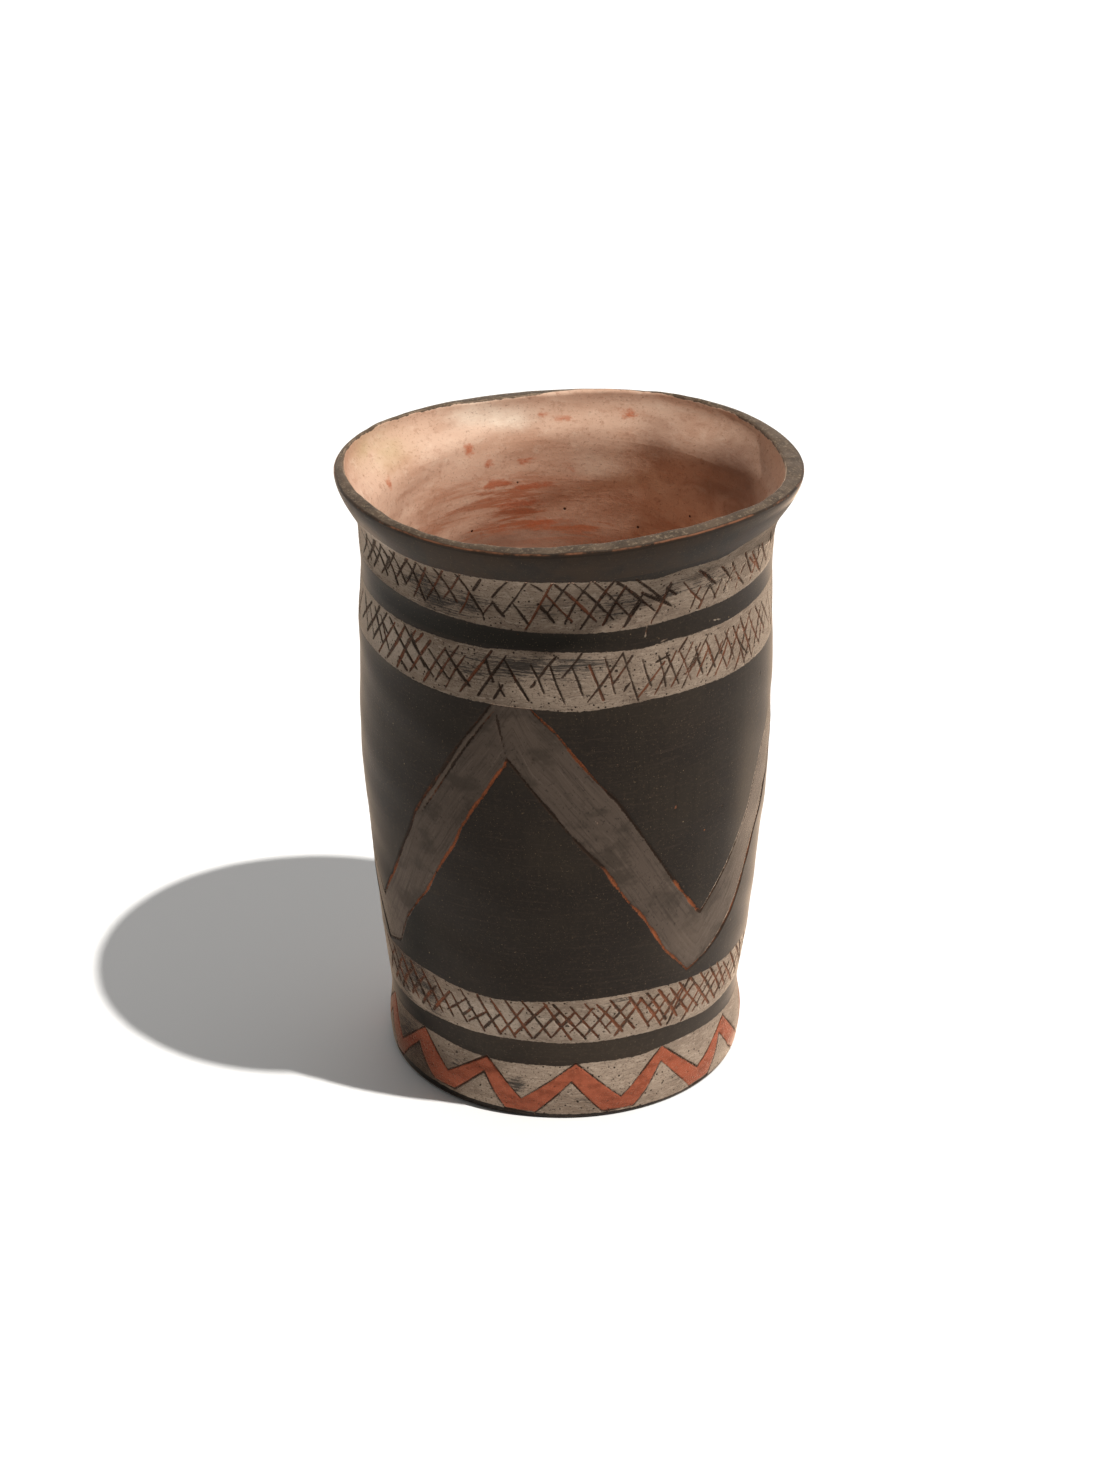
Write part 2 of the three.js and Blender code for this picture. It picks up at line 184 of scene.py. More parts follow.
class Wire:
    """One output of a node tree. Sums written with it add the nodes that do them."""

    def __init__(self, tree, socket=None):
        self.tree = tree
        self.socket = socket

    def node(self, kind, settings=None, inputs=None, output=0):
        """Adds a node, sets it up, feeds its inputs and gives back one of its outputs."""
        made = self.tree.nodes.new(kind)
        for name, value in (settings or {}).items():
            setattr(made, name, value)
        for key, value in (inputs or {}).items():
            for one in value if isinstance(value, list) else [value]:
                if isinstance(one, Wire):
                    self.tree.links.new(one.socket, made.inputs[key])
                else:
                    made.inputs[key].default_value = one
        return Wire(self.tree, made.outputs[output] if len(made.outputs) else None)

    def maths(self, operation, *values):
        return self.node("ShaderNodeMath", {"operation": operation}, dict(enumerate(values)))

    def __add__(self, other):
        return self.maths("ADD", self, other)

    def __radd__(self, other):
        return self.maths("ADD", other, self)

    def __sub__(self, other):
        return self.maths("SUBTRACT", self, other)

    def __rsub__(self, other):
        return self.maths("SUBTRACT", other, self)

    def __mul__(self, other):
        return self.maths("MULTIPLY", self, other)

    def __rmul__(self, other):
        return self.maths("MULTIPLY", other, self)

    def __truediv__(self, other):
        return self.maths("DIVIDE", self, other)

    def __rtruediv__(self, other):
        return self.maths("DIVIDE", other, self)

    def at_least(self, other):
        return self.maths("MAXIMUM", self, other)

    def at_most(self, other):
        return self.maths("MINIMUM", self, other)

    def ramp(self, low, high):
        """0 below the low value, 1 above the high one, and a soft step between them."""
        settings = {"interpolation_type": "SMOOTHSTEP"}
        return self.node("ShaderNodeMapRange", settings, {0: self, 1: low, 2: high})

    def near(self, full, none):
        """1 where this is closer to 0 than the first value, 0 where it is beyond the second."""
        return 1 - self.maths("ABSOLUTE", self).ramp(full, none)

    def sway(self, reach):
        """This noise of 0 to 1 as a change of up to half the reach either way."""
        return (self - 0.5) * reach

    def blend(self, other, share):
        """This colour, and the other where the share is 1."""
        return self.node("ShaderNodeMix", {"data_type": "RGBA"}, {0: share, 6: self, 7: other}, 2)


def colour_of(red, green, blue):
    """A surface colour from its display values of 0 to 255."""
    linear = []
    for value in (red, green, blue):
        share = value / 255
        low = share / 12.92
        linear.append(low if share <= 0.04045 else ((share + 0.055) / 1.055) ** 2.4)
    return (*linear, 1.0)


GLOSS_TINT = (1.0, 0.85, 0.68, 1.0)
DUST_TINT = (1.0, 0.75, 0.55, 1.0)
DUST_ROUGHNESS = 0.25


def bare_finish(name):
    """A material without nodes, and a wire to write its nodes with."""
    finish = bpy.data.materials.new(name)
    finish.use_nodes = True
    finish.node_tree.nodes.clear()
    return finish, Wire(finish.node_tree)


def new_finish(name, gloss_index, dust):
    """A material of fired clay with its fixed values set, and its wire.

    A low index of refraction keeps the gloss to what is seen at a glancing angle, as on a
    porous surface that was rubbed and not glazed. Clay dust adds a warm haze there.
    """
    finish, wire = bare_finish(name)
    fixed = {"IOR": gloss_index, "Specular Tint": GLOSS_TINT, "Sheen Weight": dust,
             "Sheen Roughness": DUST_ROUGHNESS, "Sheen Tint": DUST_TINT}
    shader = wire.node("ShaderNodeBsdfPrincipled", None, fixed)
    wire.node("ShaderNodeOutputMaterial", None, {"Surface": shader})
    return finish, wire


def paint(finish, tint, roughness, normal):
    """Feeds what changes over the surface to the shader of a material."""
    tree = finish.node_tree
    shader = next(n for n in tree.nodes if n.type == "BSDF_PRINCIPLED")
    for name, wire in (("Base Color", tint), ("Roughness", roughness), ("Normal", normal)):
        tree.links.new(wire.socket, shader.inputs[name])


def surface(wire):
    """The place on the object, in millimetres."""
    place = wire.node("ShaderNodeTexCoord", None, None, 3)
    scale = 1 / MILLIMETRE
    return wire.node("ShaderNodeMapping", None, {"Vector": place, "Scale": (scale,) * 3})


def grain(wire, place, stretch, detail=3.0, roughness=0.55, distortion=0.0):
    """Cloudy noise whose grains have the given sizes along x, y and z, in millimetres."""
    scale = tuple(1 / size for size in stretch)
    placed = wire.node("ShaderNodeMapping", None, {"Vector": place, "Scale": scale})
    values = {"Vector": placed, "Scale": 1.0, "Detail": detail, "Roughness": roughness}
    values["Distortion"] = distortion
    return wire.node("ShaderNodeTexNoise", None, values)


def specks(wire, place, spacing, size, share):
    """Small round spots, of which only a share of the cells has one."""
    scale = (1 / spacing,) * 3
    placed = wire.node("ShaderNodeMapping", None, {"Vector": place, "Scale": scale})
    cell = {"Vector": placed, "Scale": 1.0}
    distance = wire.node("ShaderNodeTexVoronoi", None, cell)
    chance = wire.node("ShaderNodeTexVoronoi", None, cell, 1)
    chance = wire.node("ShaderNodeSeparateColor", None, {0: chance})
    near = 1 - distance.ramp(size / spacing * 0.6, size / spacing)
    return near * (1 - chance.ramp(share, share + 0.01))


def colour(wire, value):
    """A plain colour as a wire, for the blends that start from it."""
    return wire.node("ShaderNodeMix", {"data_type": "RGBA"}, {0: 0.0, 6: value}, 2)


def bump(wire, height, distance):
    """A normal from a height of 0 to 1 that stands for a distance in millimetres."""
    values = {"Strength": 1.0, "Distance": distance * MILLIMETRE, "Height": height}
    return wire.node("ShaderNodeBump", None, values)


def coated(wire, base, *coats):
    """A display colour with others laid over it, each with the share that it covers."""
    tint = colour(wire, colour_of(*base))
    for shade, share in coats:
        tint = tint.blend(colour_of(*shade), share)
    return tint


def wire_zone(wire, name):
    """A number that the mesh keeps for each of its points."""
    return wire.node("ShaderNodeAttribute", {"attribute_name": name}, None, 2)


def rosy_layer(wire, place):
    """Rosy slip wiped round the inside with a rag: pink, cloudy, with red streaks."""
    cloud = grain(wire, place, (22, 22, 9), 3.0, 0.6, 0.4)
    small = grain(wire, place, (6, 6, 3), 4.0, 0.62, 0.3)
    streak = grain(wire, place, (20, 20, 2.2), 4.0, 0.62, 0.3)
    dust = grain(wire, place, (0.8, 0.8, 0.6), 3.0, 0.72)
    mottle = grain(wire, place, (2.2, 2.2, 1.6), 3.0, 0.66)
    # Painted highlights and painted shade, from the zones kept on the mesh.
    rubbed = wire_zone(wire, "rubbed")
    stained = wire_zone(wire, "stained") * (0.55 + cloud * 0.9)
    red = streak.ramp(0.48, 0.62) * wire_zone(wire, "wiped").at_most(1.0)
    blotch = wire_zone(wire, "blotch") + small.sway(2.0) + mottle - 0.5
    pits = specks(wire, place, 7.0, 0.5, 0.3)
    tint = coated(
        wire, (221, 184, 159),
        ((203, 160, 134), cloud.ramp(0.42, 0.66)),
        ((232, 202, 178), small.ramp(0.5, 0.72) * 0.6),
        ((186, 142, 118), mottle.ramp(0.52, 0.7) * 0.55),
        ((252, 234, 212), (rubbed * (0.3 + small * 1.1)).ramp(0.0, 1.3) * 0.8),
        ((134, 100, 83), stained.ramp(0.1, 1.2) * 0.9),
        ((178, 103, 66), red * 0.8),
        ((190, 106, 70), (blotch - 0.5).ramp(0.0, 0.65) * 0.8),
        ((198, 178, 132), wire_zone(wire, "ashen") * cloud.ramp(0.2, 0.6) * 0.65),
        ((128, 84, 62), dust.ramp(0.56, 0.72) * 0.5),
        ((66, 42, 32), pits),
    )
    height = streak * 0.6 + dust * 0.4 + small * 0.6 + mottle * 0.5 - pits * 0.8
    roughness = 0.4 + small * 0.2 + dust * 0.12 - rubbed * 0.1
    return tint, roughness, height


def rosy_material():
    """The rosy slip of the floor, the coil and the inside of every strap."""
    finish, wire = new_finish("rosy_slip", gloss_index=1.42, dust=0.2)
    place = surface(wire)
    tint, roughness, height = rosy_layer(wire, place)
    paint(finish, tint, roughness, bump(wire, height, 0.12))
    return finish


def clay_material():
    """Bare clay of the underside: brown-grey, sooty, scuffed where the pot was slid about."""
    finish, wire = new_finish("clay_disc", gloss_index=1.25, dust=0.3)
    place = surface(wire)
    cloud = grain(wire, place, (22, 22, 22), 4.0, 0.6)
    grit = grain(wire, place, (0.8, 0.8, 0.8), 3.0, 0.7)
    scuff = grain(wire, place, (14, 0.7, 8), 3.0, 0.6)
    pits = specks(wire, place, 5.0, 0.7, 0.35)
    tint = coated(
        wire, (104, 84, 70),
        ((58, 50, 45), cloud.ramp(0.4, 0.62)),
        ((150, 124, 104), scuff.ramp(0.6, 0.74) * 0.5),
        ((44, 36, 31), grit.ramp(0.6, 0.76) * 0.6),
        ((34, 28, 25), pits),
    )
    height = grit * 0.5 + cloud * 0.5 + scuff * 0.3 - pits
    paint(finish, tint, 0.72 + grit * 0.15, bump(wire, height, 0.2))
    return finish


rosy_slip = rosy_material()
clay = clay_material()


def disc_rows():
    """Rings of the disc from the middle of its underside, round its edge, to its top middle."""
    low_radius = outer_radius(0.0) - wall_thickness(0.0) - DISC_BEVEL
    high_radius = outer_radius(FLOOR_THICKNESS) - wall_thickness(FLOOR_THICKNESS)
    rings = max(2, int(low_radius / DISC_STEP))
    low = [(share * low_radius, 0.0) for share in np.linspace(0, 1, rings + 1)[1:]]
    edge = [
        (low_radius + (high_radius - low_radius) * share, FLOOR_THICKNESS * share)
        for share in np.linspace(0, 1, DISC_EDGE_STEPS)[1:-1]
    ]
    high = [(share * high_radius, FLOOR_THICKNESS) for share in np.linspace(1, 0, rings + 1)[:-1]]
    return low + edge + high, len(low) - 1, len(low) + len(edge)


def mark_sharp(mesh, columns, rows):
    """Makes the edges along some rows of a ring sharp, where two of its faces meet."""
    ends = np.zeros(2 * len(mesh.edges), np.int32)
    mesh.edges.foreach_get("vertices", ends)
    row = (ends // columns).reshape(-1, 2)
    sharp = (row[:, 0] == row[:, 1]) & np.isin(row[:, 0], list(rows))
    attribute = mesh.attributes.new("sharp_edge", "BOOLEAN", "EDGE")
    attribute.data.foreach_set("value", sharp)


def base_disc_mesh():
    """The disc, its two flat faces closed with a fan of triangles round their middles."""
    rows, low_edge, high_edge = disc_rows()
    azimuth = np.radians(columns_round(DISC_COLUMNS))
    points = []
    for radius, height in rows:
        lean = height / RIM_LEVEL
        dimple = 0.0
        if height == FLOOR_THICKNESS:
            reach = 1 - radius / rows[high_edge][0]
            dimple = DIMPLE_DEPTH * math.sin(radius / DIMPLE_PITCH) * reach
        x = radius * np.sin(azimuth) + LEAN_RIGHT * lean
        y = -radius * np.cos(azimuth) + LEAN_BACK * lean
        points.append(np.stack([x, y, np.full_like(x, height - abs(dimple))], axis=-1))
    points = np.concatenate(points)
    middle = np.array([[0, 0, 0], [0, 0, FLOOR_THICKNESS]], float)
    points = np.concatenate([points, middle]) * MILLIMETRE
    first = np.arange(DISC_COLUMNS)
    following = (first + 1) % DISC_COLUMNS
    faces = []
    for row in range(len(rows) - 1):
        start = row * DISC_COLUMNS
        ring = np.stack([first, following, following + DISC_COLUMNS, first + DISC_COLUMNS], -1)
        faces += (ring + start).tolist()
    low_middle = len(rows) * DISC_COLUMNS
    last = (len(rows) - 1) * DISC_COLUMNS
    faces += [[low_middle, int(b), int(a)] for a, b in zip(first, following)]
    faces += [[low_middle + 1, int(a) + last, int(b) + last] for a, b in zip(first, following)]
    mesh = bpy.data.meshes.new("base_disc")
    mesh.from_pydata(points.tolist(), [], faces)
    mesh.shade_smooth()
    mesh.materials.append(clay)
    mesh.materials.append(rosy_slip)
    top = np.array([mesh.vertices[p.vertices[1]].co.z for p in mesh.polygons])
    inside = (top > (FLOOR_THICKNESS - FLOOR_MARGIN) * MILLIMETRE).astype(np.int32)
    mesh.polygons.foreach_set("material_index", inside)
    mark_sharp(mesh, DISC_COLUMNS, {low_edge, high_edge})
    # The floor gets streaks, blotches and the painted shade of deep down, and no painted highlight.
    for name, value in (("wiped", 0.6), ("blotch", 0.3), ("stained", 0.6)):
        store(mesh, name, np.full(len(points), value))
    for name in ("ashen", "rubbed"):
        store(mesh, name, np.zeros(len(points)))
    return mesh


base_disc = add_object("base_disc_clay", base_disc_mesh())
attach(base_disc, "root")
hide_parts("base_disc")


# Floor coil. A thin roll of clay pressed into the corner between disc and wall with a finger,
# so that its face is a hollow quarter round. It is rubbed over with the rosy slip.
SCARF_DROP = 5.0
FLOOR_COIL_SIZE = 7.4
FLOOR_COIL_STEPS = 14
INNER_STEP = 1.8
INNER_COLUMNS = 480
CHART_RADIUS = 57.0


def round_from(azimuth, middle):
    """How many degrees a place lies to the right of a middle, less than 0 to its left."""
    return (azimuth - middle + FULL_TURN / 2) % FULL_TURN - FULL_TURN / 2


def in_zone(azimuth, level, zones):
    """How strongly soft oval zones, of place, half width and strength, cover each point."""
    total = 0.0
    for middle, at_level, half_width, half_height, strength in zones:
        across = round_from(azimuth, middle) / half_width
        reach = across ** 2 + ((level - at_level) / half_height) ** 2
        total = total + strength * np.exp(-reach)
    return total


INNER_ZONES = {
    "wiped": (
        (200, 148, 16, 5, 0.9), (196, 139, 30, 6, 1), (184, 155, 9, 3, 0.4), (170, 137, 20, 5, 0.7),
        (222, 147, 10, 6, 0.4), (0, 90, 200, 30, 0.5),
    ),
    "blotch": (
        (203, 150.6, 7, 1.3, 1.5), (190, 148.2, 8, 1.1, 1.4), (197, 144, 14, 0.9, 1.1),
        (211, 163, 2.6, 3, 1.25), (205, 158, 3, 2.4, 0.9), (161, 171.5, 5, 2.2, 1),
        (180, 170, 4.5, 1.8, 1), (187, 172, 3, 1.6, 0.7), (247, 163, 2.6, 3.4, 1), (191, 156, 8, 1.6, 1),
        (178, 153, 8, 1.6, 0.6), (185, 136, 22, 3, 0.8), (194, 143, 13, 2.6, 0.6), (112, 168, 5, 3, 0.4),
        (120, 140, 20, 12, 0.3), (300, 120, 40, 30, 0.4), (60, 120, 40, 30, 0.4),
    ),
    "ashen": (
        (241, 172, 12, 5, 1), (36, 160, 14, 8, 0.4),
    ),
    # Painted highlights: pale, smoother spots high up near the back.
    "rubbed": (
        (205, 174, 9, 4, 1.1), (195, 171, 7, 4.2, 1), (216, 166, 14, 7, 0.35), (154, 152, 12, 4.5, 0.6),
        (172, 154, 10, 5, 0.8), (170, 160, 10, 5, 0.3), (150, 174, 16, 2, 0.4),
    ),
    # Painted shade: darker, browner inside on the right, which the rim shades, and deep down.
    "stained": (
        (120, 165, 18, 9, 0.9), (98, 150, 20, 14, 0.8), (150, 140, 24, 7, 0.3), (152, 170, 12, 5, 0.4),
        (130, 155, 16, 8, 0.4), (200, 132, 40, 6, 0.9), (152, 163, 9, 6, 0.5), (0, 60, 200, 60, 0.6),
    ),
}


def ring_mesh(name, section, columns, sharp, outer_finish=None):
    """A closed ring swept round the cup through a section of rows.

    Each row gives its level, its depth below the outer face, and whether it is on the outside.
    """
    azimuth = columns_round(columns)
    level = np.stack([np.broadcast_to(row[0], columns) for row in section])
    inset = np.stack([np.broadcast_to(row[1], columns) for row in section])
    outside = np.array([float(row[2]) for row in section])
    points = wall_place(level, azimuth[None, :], inset).reshape(-1, 3)
    count = len(section)
    row = np.arange(count)[:, None] * columns
    row_after = (np.arange(count)[:, None] + 1) % count * columns
    column = np.arange(columns)[None, :]
    column_after = (column + 1) % columns
    corners = (row + column, row + column_after, row_after + column_after, row_after + column)
    faces = np.stack(corners, axis=-1).reshape(-1, 4)
    mesh = bpy.data.meshes.new(name)
    mesh.from_pydata(points.tolist(), [], faces.tolist())
    mesh.shade_smooth()
    mark_sharp(mesh, columns, sharp)
    mesh.materials.append(outer_finish or rosy_slip)
    mesh.materials.append(rosy_slip)
    after = np.roll(outside, -1)
    inner_face = np.repeat((outside + after < 1.5).astype(np.int32), columns)
    mesh.polygons.foreach_set("material_index", inner_face)
    angle = np.broadcast_to(np.radians(azimuth), level.shape)
    round_about = np.broadcast_to(azimuth, level.shape)
    chart = np.stack([angle * CHART_RADIUS, level, np.zeros_like(level)], axis=-1)
    outward = np.stack([np.sin(angle), -np.cos(angle), np.zeros_like(angle)], axis=-1)
    store(mesh, "chart", chart, "FLOAT_VECTOR")
    store(mesh, "outward", outward, "FLOAT_VECTOR")
    store(mesh, "outside", np.repeat(outside, columns))
    for name_of_zone, zones in INNER_ZONES.items():
        store(mesh, name_of_zone, in_zone(round_about, level, zones))
    return mesh


def floor_coil_section():
    """The coil's rows: up the wall that it is pressed to, and down its hollow face."""
    top = FLOOR_THICKNESS + FLOOR_COIL_SIZE
    levels = levels_between(FLOOR_THICKNESS, top, INNER_STEP)
    section = [(level, wall_thickness(level), 0) for level in levels]
    innermost = wall_thickness(top)
    for turn in np.linspace(0, math.pi / 2, FLOOR_COIL_STEPS)[1:]:
        level = top - FLOOR_COIL_SIZE * math.sin(turn)
        section.append((level, innermost + FLOOR_COIL_SIZE * (1 - math.cos(turn)), 0))
    return section, {0, len(levels) - 1, len(section) - 1}


coil_section, coil_corners = floor_coil_section()
coil_mesh = ring_mesh("floor_coil", coil_section, INNER_COLUMNS, coil_corners)
floor_coil = add_object("floor_coil_rosy", coil_mesh)
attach(floor_coil, "root")
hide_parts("floor_coil")


# Foot strap. The lowest strap of the wall, wrapped round the disc. It is painted with pale slip
# below a dark burnished stripe, and a zigzag is cut into it with two lines and filled between
# them with red ochre.
FOOT_COLUMNS = 1000
FOOT_STEP = 0.36
FOOT_EDGE_ROUND = 0.9
FOOT_EDGE_STEPS = 4
LINE_SOFTNESS = 9

# The borders of the painted bands, from the back round to the back, as azimuth and level.
STRIPE_FOOT = (
    (-180, 17.6), (-140, 17.2), (-100, 17.9), (-75, 18.3), (-55, 18.3), (-45, 18.2), (-35, 17.4),
    (-25, 17), (-20, 16.9), (-10, 17.3), (0, 17.2), (5, 17.8), (10, 18), (25, 17.8), (33, 18.7),
    (40, 18.8), (50, 18.6), (60, 18.2), (70, 17.8), (110, 17.9), (145, 17.1), (180, 17.6),
)
BAND_THREE_FOOT = (
    (-180, 24.9), (-140, 25.4), (-100, 24.6), (-70, 24.2), (-55, 24.1), (-45, 24.9), (-30, 25.1),
    (-16, 25.4), (0, 25.1), (20, 25.4), (32, 25.3), (43, 24.6), (53, 23.8), (75, 24.4), (110, 25.2),
    (145, 24.6), (180, 24.9),
)
BAND_THREE_HEAD = (
    (-180, 39.6), (-140, 39), (-100, 39.8), (-70, 40.1), (-53, 40), (-45, 39.9), (-35, 38.9), (-24, 38.3),
    (-15, 38.7), (-5, 39.6), (10, 40.2), (21, 40.4), (30, 40), (40, 39.2), (62, 38.2), (80, 38.8),
    (110, 39.7), (145, 39.1), (180, 39.6),
)
BAND_TWO_FOOT = (
    (-180, 132.8), (-140, 132.2), (-100, 133.2), (-70, 134), (-55, 133.5), (-45, 132.8), (-30, 132.4),
    (-20, 132.6), (-8, 132.4), (3, 131.9), (10, 132.4), (23, 133.3), (38, 133.2), (50, 132.6), (66, 132.3),
    (90, 132.9), (130, 132.3), (180, 132.8),
)
BAND_TWO_HEAD = (
    (-180, 148.6), (-140, 149), (-100, 148.2), (-60, 148.3), (-45, 148.2), (-22, 148.4), (-15, 149.2),
    (0, 149.1), (8, 148.7), (20, 148.3), (28, 148.9), (42, 148.6), (49, 148.2), (63, 148.6), (80, 148.9),
    (120, 148.3), (180, 148.6),
)
BAND_ONE_FOOT = (
    (-180, 155.3), (-140, 154.8), (-100, 155.7), (-70, 156.3), (-58, 156.2), (-42, 155.6), (-28, 155.2),
    (-14, 154.7), (10, 154.3), (20, 154.4), (35, 155.2), (48, 155), (70, 155.3), (110, 154.8),
    (180, 155.3),
)
BAND_ONE_HEAD = (
    (-180, 168), (-140, 168.6), (-100, 168.6), (-75, 169.8), (-60, 169.8), (-50, 168.8), (-43, 168.2),
    (0, 168.2), (9, 167.8), (16, 166.9), (25, 166.2), (30, 167.2), (44, 166.9), (52, 168.4), (63, 168.9),
    (90, 168), (130, 168.6), (180, 168),
)
# Dark foot below the pale: burnish, and painted shade where it meets the table, widest at the left.
FOOT_EDGE = (
    (-180, 1.6), (-75, 3.4), (-50, 2.8), (-25, 2), (0, 1.5), (25, 1.3), (40, 1.2), (75, 1.3), (120, 1.5),
    (180, 1.6),
)
PALE_BANDS = (
    (FOOT_EDGE, STRIPE_FOOT),
    (BAND_THREE_FOOT, BAND_THREE_HEAD),
    (BAND_TWO_FOOT, BAND_TWO_HEAD),
    (BAND_ONE_FOOT, BAND_ONE_HEAD),
)


def line_round(points, azimuth):
    """The level of a hand-drawn line at each azimuth, from the places it passes."""
    at, levels = np.array(points, float).T
    fine = np.arange(at[0], at[-1], 1.0)
    drawn = np.interp(fine, at, levels)
    kernel = np.hanning(LINE_SOFTNESS) / np.hanning(LINE_SOFTNESS).sum()
    ends = len(kernel) // 2
    padded = np.concatenate([drawn[-ends:], drawn, drawn[:ends]])
    soft = np.convolve(padded, kernel, mode="valid")
    turned = (azimuth - fine[0]) % FULL_TURN + fine[0]
    return np.interp(turned, fine, soft, period=FULL_TURN)


def inside_pale(azimuth, level):
    """How many millimetres a place lies inside a pale painted band, less than 0 outside."""
    reaches = [
        np.minimum(level - line_round(low, azimuth), line_round(high, azimuth) - level)
        for low, high in PALE_BANDS
    ]
    return np.max(reaches, axis=0)


# The lines of the zigzag in front, as azimuth and level.
ZIGZAG_UPPER = [
    (-77, 18), (-65.6, 8.6), (-52.6, 18.2), (-40.5, 9), (-26, 17.6), (-14, 6.3), (3.5, 18), (18, 6.3),
    (33, 18.8), (47.5, 7), (64, 16.6), (71, 9.4), (77, 4),
]
ZIGZAG_LOWER = [
    (-78.5, 12), (-72, 1.9), (-67, 1.9), (-55, 12.4), (-47, 3.6), (-38, 3.4), (-26.7, 12.6), (-19.6, 1.9),
    (-9.5, 1.8), (2, 12.3), (12, 1.8), (22.6, 1.8), (32.5, 14), (44.6, 1.4), (54, 1.4), (60.5, 12.5),
    (67, 5), (79, -3),
]
ZIGZAG_FAR_TURNS = 12
ZIGZAG_FAR_PEAK = 17.8
ZIGZAG_FAR_VALLEY = 6.6
ZIGZAG_FAR_NOTCH = 12.6
ZIGZAG_FAR_FLAT = 1.9
ZIGZAG_FLAT_REACH = 4.6
ZIGZAG_DRIFT = 1.2
ZIGZAG_SHIFT = 0.5
ZIGZAG_SEED = 31
ZIGZAG_LEAN = 0.74
OCHRE_MARGIN = 0.1
ZIGZAG_LINE_WIDTH = 0.5
ZIGZAG_LINE_DEPTH = 0.35


def zigzag_lines():
    """The upper and the lower line of the zigzag, as places round the whole foot.

    What shows in front is as drawn. Behind, it goes on in the same rhythm, a little uneven.
    """
    upper = list(ZIGZAG_UPPER)
    lower = list(ZIGZAG_LOWER)
    drift = random.Random(ZIGZAG_SEED)
    start = ZIGZAG_UPPER[-1][0]
    step = (ZIGZAG_UPPER[0][0] + FULL_TURN - start) / (ZIGZAG_FAR_TURNS + 1)
    for i in range(1, ZIGZAG_FAR_TURNS + 1):
        azimuth = start + i * step + drift.uniform(-ZIGZAG_DRIFT, ZIGZAG_DRIFT)
        shift = drift.uniform(-ZIGZAG_SHIFT, ZIGZAG_SHIFT)
        if i % 2 == 1:
            upper.append((azimuth, ZIGZAG_FAR_PEAK + shift))
            lower.append((azimuth, ZIGZAG_FAR_NOTCH + shift))
        else:
            upper.append((azimuth, ZIGZAG_FAR_VALLEY + shift))
            lower.append((azimuth - ZIGZAG_FLAT_REACH, ZIGZAG_FAR_FLAT))
            lower.append((azimuth + ZIGZAG_FLAT_REACH, ZIGZAG_FAR_FLAT))
    return upper, lower


def sharp_line_round(points, azimuth):
    """The level of a line of straight legs at each azimuth."""
    at = [place[0] for place in points]
    levels = [place[1] for place in points]
    return np.interp(azimuth, at, levels, period=FULL_TURN)


zigzag_upper, zigzag_lower = zigzag_lines()


def inside_zigzag(azimuth, level):
    """How many millimetres a place lies between the two lines of the zigzag."""
    above = sharp_line_round(zigzag_upper, azimuth) - level
    below = level - sharp_line_round(zigzag_lower, azimuth)
    return np.minimum(above, below) * ZIGZAG_LEAN


UNEVEN_LENGTH = 4.0
STROKE_STEP = 0.7
ROW_POINTS = 24
ROW_TONES = (-0.3, 1.0)
ROW_WIDTHS = (0.75, 1.2)


def strokes_object(name, strokes):
    """Lines to be cut, on a flat chart of the wall: arc length across, level up.

    A stroke is its places, each an azimuth, a level and a tone from 0, dark, to 1, orange, and
    2 for a pale scratch; its width and depth; and how uneven and how pointed it is.
    """
    hand = random.Random(len(strokes))
    points = []
    edges = []
    tones = []
    widths = []
    depths = []
    for places, width, depth, unevenness, pointed in strokes:
        places = np.array(places, float)
        across = np.radians(places[:, 0]) * CHART_RADIUS
        length = np.hypot(np.diff(across), np.diff(places[:, 1]))
        along = np.concatenate([[0.0], np.cumsum(length)])
        count = max(2, math.ceil(along[-1] / STROKE_STEP) + 1)
        fine = np.union1d(np.linspace(0, along[-1], count), along)
        start = len(points)
        xs = np.interp(fine, along, across)
        ys = np.interp(fine, along, places[:, 1])
        points += np.stack([xs, ys, np.zeros_like(xs)], axis=-1).tolist()
        edges += [(start + i, start + i + 1) for i in range(len(fine) - 1)]
        tones += np.interp(fine, along, places[:, 2]).tolist()
        knots = np.linspace(0, along[-1], max(2, math.ceil(along[-1] / UNEVEN_LENGTH)) + 1)
        swell = [1 + unevenness * hand.uniform(-1, 1) for _ in knots]
        taper = 1 - pointed * np.abs(2 * fine / along[-1] - 1) ** 3
        widths += (width * np.interp(fine, knots, swell) * taper).tolist()
        depths += [depth] * len(fine)
    mesh = bpy.data.meshes.new(name)
    mesh.from_pydata(points, edges, [])
    store(mesh, "line_tone", tones)
    store(mesh, "line_width", widths)
    store(mesh, "line_depth", depths)
    return add_object(name, mesh)


def closed_line(points, tone):
    """A line of legs that runs once round the cup and meets itself."""
    around = points + [(points[0][0] + FULL_TURN, points[0][1])]
    return [(azimuth, level, tone) for azimuth, level in around]


def new_group(name, inputs):
    """A Geometry Nodes group with a geometry output and named inputs with default values."""
    tree = bpy.data.node_groups.new(name, "GeometryNodeTree")
    kinds = {float: "NodeSocketFloat", int: "NodeSocketInt"}
    for label, default in inputs.items():
        kind = default if isinstance(default, str) else kinds[type(default)]
        socket = tree.interface.new_socket(label, in_out="INPUT", socket_type=kind)
        if not isinstance(default, str):
            socket.default_value = default
    tree.interface.new_socket("Geometry", in_out="OUTPUT", socket_type="NodeSocketGeometry")
    entry = tree.nodes.new("NodeGroupInput")
    return tree, {o.name: Wire(tree, o) for o in entry.outputs if o.name}


def keep_value(wire, geometry, label, value):
    """Stores a number for each point of a geometry under a name."""
    values = {"Geometry": geometry, "Name": label, "Value": value}
    return wire.node("GeometryNodeStoreNamedAttribute", None, values)


